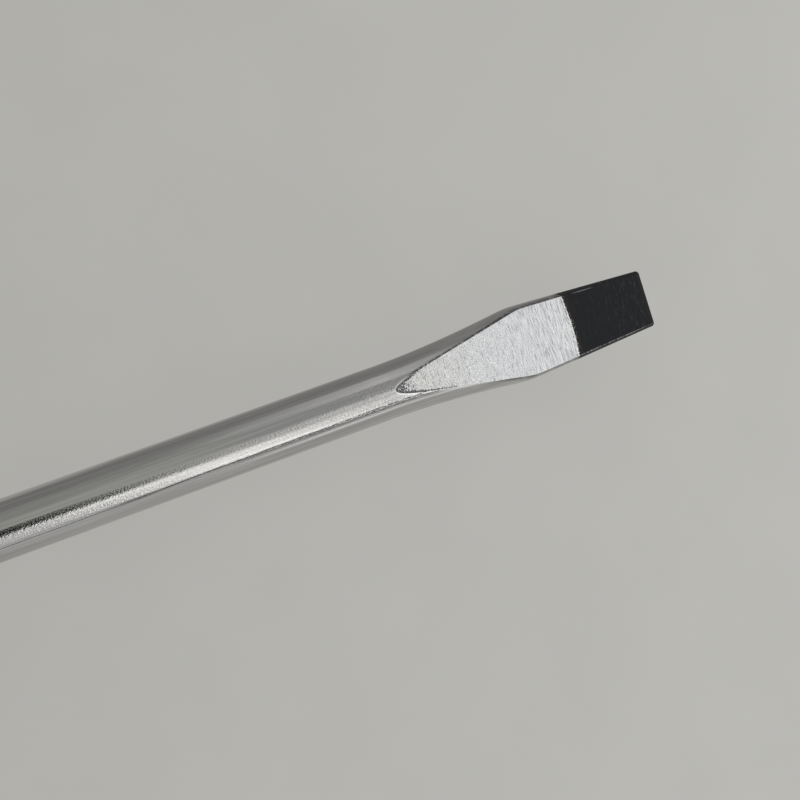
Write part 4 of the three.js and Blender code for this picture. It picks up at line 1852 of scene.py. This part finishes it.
@dataclass
class Studio:
    """Pale floor, soft surroundings, one soft lamp and the camera.

    Places, and the size and fades of the floor, are in metres.
    """

    floor_size: float = 30.0
    floor_cells: int = 8
    # Painted light: the floor runs from darker to lighter across the view, as if lit more towards +X.
    floor_painted_shade: Colour = (0.437, 0.432, 0.413, 1)
    floor_painted_light: Colour = (0.518, 0.513, 0.493, 1)
    floor_fall: Span = (0.9, -0.44)
    painted_falloff: Fade = Fade((0.0, 0.22))
    floor_fibre: Grain = Grain((14.0, 14.0, 14.0), 3)
    fibre_tone: Fade = Fade((0.3, 0.7), (0.99, 1.01))
    floor_plain: float = 0.72
    floor_roughness: float = 0.9
    floor_gloss: float = 0.1
    # Painted shade: reflections see the floor darker past a line beside the tool.
    far_side: Fade = Fade((0.036, 0.06))
    far_turn: float = 0.41
    far_shade_tone: Size = (0.63, 0.615, 0.64)
    horizon: Colour = (0.47, 0.465, 0.44, 1)
    tint: Colour = (1.0, 0.998, 0.978, 1)
    haze: Card = Card("haze", 0.0, (-72, 12), (-1.2, 0.43), (20, 8), (0.03, 0.04))
    haze_tint: Colour = (0.978, 1.0, 0.925, 1)
    far_wall: Fade = Fade((-95, -15), (0.27, 0.44))
    near_wall: Fade = Fade((0, 60), (0, 0.11))
    rear_tone: float = 0.88
    rear_reach: Fade = Fade((0.0, 0.25), (1, 0))
    rear_height: Fade = Fade((0.1, 0.4))
    cards: tuple[Card, ...] = (
        Card("far panel", 0.66, (-80, -44), (0.465, 1.2), (18, 9), (0.05, 0.03)),
        Card("near panel", 0.60, (18, 60), (0.25, 0.445), (4, 20), (0.03, 0.03)),
        Card("shank strip", 1.8, (17.5, 27), (0.368, 0.445), (3, 14), (0.03, 0.03), (60, 900), (0.405, 0.45)),
        Card("top panel", 0.93, (-1, 57), (0.452, 0.60), (10, 6), (0.035, 0.03)),
        Card("flare strip", 1.95, (21, 53), (0.43, 0.478), (14, 9), (0.025, 0.02), (330, 0), (0.43, 0.48)),
        Card("face panel", 1.0, (-16, 28), (0.55, 1.2), (12, 12), (0.03, 0.03)),
        Card("dark gap", 0.0, (-5, 18.5), (0.20, 0.41), (3, 2), (0.03, 0.02), (400, 0), (0.386, 0.425)),
        Card("rear gap", 0.0, (-5, 25.5), (0.20, 0.374), (3, 3), (0.03, 0.01)),
        Card("near shade", 0.24, (55, 63), (0.43, 0.75), (2, 3), (0.02, 0.03)),
        Card("low strip", 0.88, (73, 81), (0.45, 0.8), (2, 4), (0.02, 0.03)),
    )
    lamp_place: Size = (-0.3, 0.08, 0.9)
    lamp_target: Size = (0.0, 0.0, 0.015)
    lamp_size: float = 0.9
    lamp_power: float = 2.8
    camera_place: Size = (-0.052871, 0.020583, 0.272651)
    camera_right: Size = (0.81221, -0.30052, 0.50001)
    camera_up: Size = (0.29546, 0.95095, 0.09162)
    lens: float = 126.0
    sensor: float = 36.0
    nearest: float = 0.01

    def build_floor(self) -> None:
        """Lay the floor on which the handle rests."""
        work = bmesh.new()
        cells = self.floor_cells
        bmesh.ops.create_grid(work, x_segments=cells, y_segments=cells, size=self.floor_size / 2)
        mesh = bpy.data.meshes.new("studio_floor")
        work.to_mesh(mesh)
        work.free()
        floor = add_object("studio_floor", mesh)
        paint(floor, self.paper())

    def paper(self) -> Material:
        """Make the floor's material, with a painted fall of light and painted shade where reflections see its
        far side.

        Returns:
            Pale paper, which the camera and reflections see at a plain level, with the tool's shadow on it.
        """
        material, pen, shader = new_material("studio_paper")
        along, across, _ = pen.split(pen.place())
        # Painted light: a darker-to-lighter fall across the floor.
        slope = pen.plus(pen.times(along, self.floor_fall[0]), pen.times(across, self.floor_fall[1]))
        plain = pen.blend(pen.fade(slope, self.painted_falloff), self.floor_painted_shade, self.floor_painted_light)
        fibre = pen.fade(pen.grain(self.floor_fibre), self.fibre_tone)
        path = pen.node("ShaderNodeLightPath").outputs
        # Painted shade: reflections see the floor darker past a line beside the tool.
        past = pen.plus(across, pen.times(along, self.far_turn))
        shade_in_reflections = pen.times(path["Is Glossy Ray"], pen.fade(past, self.far_side))
        lit = pen.node("ShaderNodeVectorMath", {0: plain, "Scale": fibre}, operation="SCALE").outputs[0]
        painted_shade = pen.node("ShaderNodeVectorMath", {0: lit, 1: self.far_shade_tone}, operation="MULTIPLY").outputs[0]
        colour = pen.blend(shade_in_reflections, lit, painted_shade)
        pen.fill(shader, {
            "Base Color": colour,
            "Roughness": self.floor_roughness,
            "Specular IOR Level": self.floor_gloss,
        })
        glow = pen.node("ShaderNodeEmission", {"Color": colour, "Strength": 1.0}).outputs[0]
        seen = pen.times(pen.most(path["Is Camera Ray"], path["Is Glossy Ray"]), self.floor_plain)
        look = pen.node("ShaderNodeMixShader", {0: seen, 1: shader.outputs[0], 2: glow}).outputs[0]
        pen.fill(material.node_tree.nodes["Material Output"], {"Surface": look})
        return material

    def build_world(self) -> None:
        """Surround the tool with soft tones and cards round its axis."""
        world = bpy.data.worlds.new("studio")
        bpy.context.scene.world = world
        world.use_nodes = True
        pen = NodePen(world.node_tree)
        along, across, up = pen.split(pen.node("ShaderNodeTexCoord").outputs["Generated"])
        turn = pen.math("DEGREES", pen.math("ARCTAN2", pen.times(across, -1.0), up))
        tone = pen.plus(pen.fade(turn, self.far_wall), pen.fade(turn, self.near_wall))
        for card in self.cards:
            tone = pen.weigh(card.share(pen, turn, along), tone, card.tone, card.name)
        rear = pen.times(pen.fade(along, self.rear_reach), pen.fade(up, self.rear_height))
        tone = pen.weigh(rear, tone, self.rear_tone)
        hue = pen.blend(self.haze.share(pen, turn, along), self.tint, self.haze_tint)
        soft = pen.node("ShaderNodeBackground", {"Color": hue, "Strength": tone}).outputs[0]
        plain = pen.node("ShaderNodeBackground", {"Color": self.horizon, "Strength": 1.0}).outputs[0]
        seen = pen.node("ShaderNodeLightPath").outputs["Is Camera Ray"]
        either = pen.node("ShaderNodeMixShader", {0: seen, 1: soft, 2: plain}).outputs[0]
        pen.fill(world.node_tree.nodes["World Output"], {"Surface": either})

    def build_lamp(self) -> None:
        """Hang one soft lamp over the handle."""
        data = bpy.data.lights.new("soft_lamp", "AREA")
        data.shape = "SQUARE"
        data.size = self.lamp_size
        data.energy = self.lamp_power
        lamp = add_object("soft_lamp", data)
        lamp.location = self.lamp_place
        aim = Vector(self.lamp_target) - lamp.location
        lamp.rotation_euler = aim.to_track_quat("-Z", "Y").to_euler()

    def build_camera(self) -> None:
        """Set the camera at the photograph's viewing angle."""
        data = bpy.data.cameras.new("camera")
        data.lens = self.lens
        data.sensor_width = self.sensor
        data.clip_start = self.nearest
        camera = add_object("camera", data)
        right, up = Vector(self.camera_right).normalized(), Vector(self.camera_up).normalized()
        turn = Matrix((right, up, right.cross(up))).transposed().to_4x4()
        camera.matrix_world = Matrix.Translation(self.camera_place) @ turn
        bpy.context.scene.camera = camera

    def build(self) -> None:
        """Build the studio and set the plain view transform."""
        self.build_floor()
        self.build_world()
        self.build_lamp()
        self.build_camera()
        bpy.context.scene.view_settings.view_transform = "Standard"
        log.info("studio is set")


def main() -> None:
    """Build and dress every piece of the screwdriver, then the studio."""
    logging.basicConfig(level=logging.INFO, format="%(name)s: %(message)s")
    axis = ToolAxis.from_frame()
    belly = Belly()
    soft = SoftElastomer().material()
    for part in (Blade(axis), Bolster(axis), HandleBody(axis, belly), ButtCap(axis)):
        part.dress(part.build())
    for part in (FingerGrip(axis), GripInlays(axis, belly)):
        part.dress(part.build(), soft)
    InnerCore().dress()
    Studio().build()


if __name__ == "__main__":
    main()
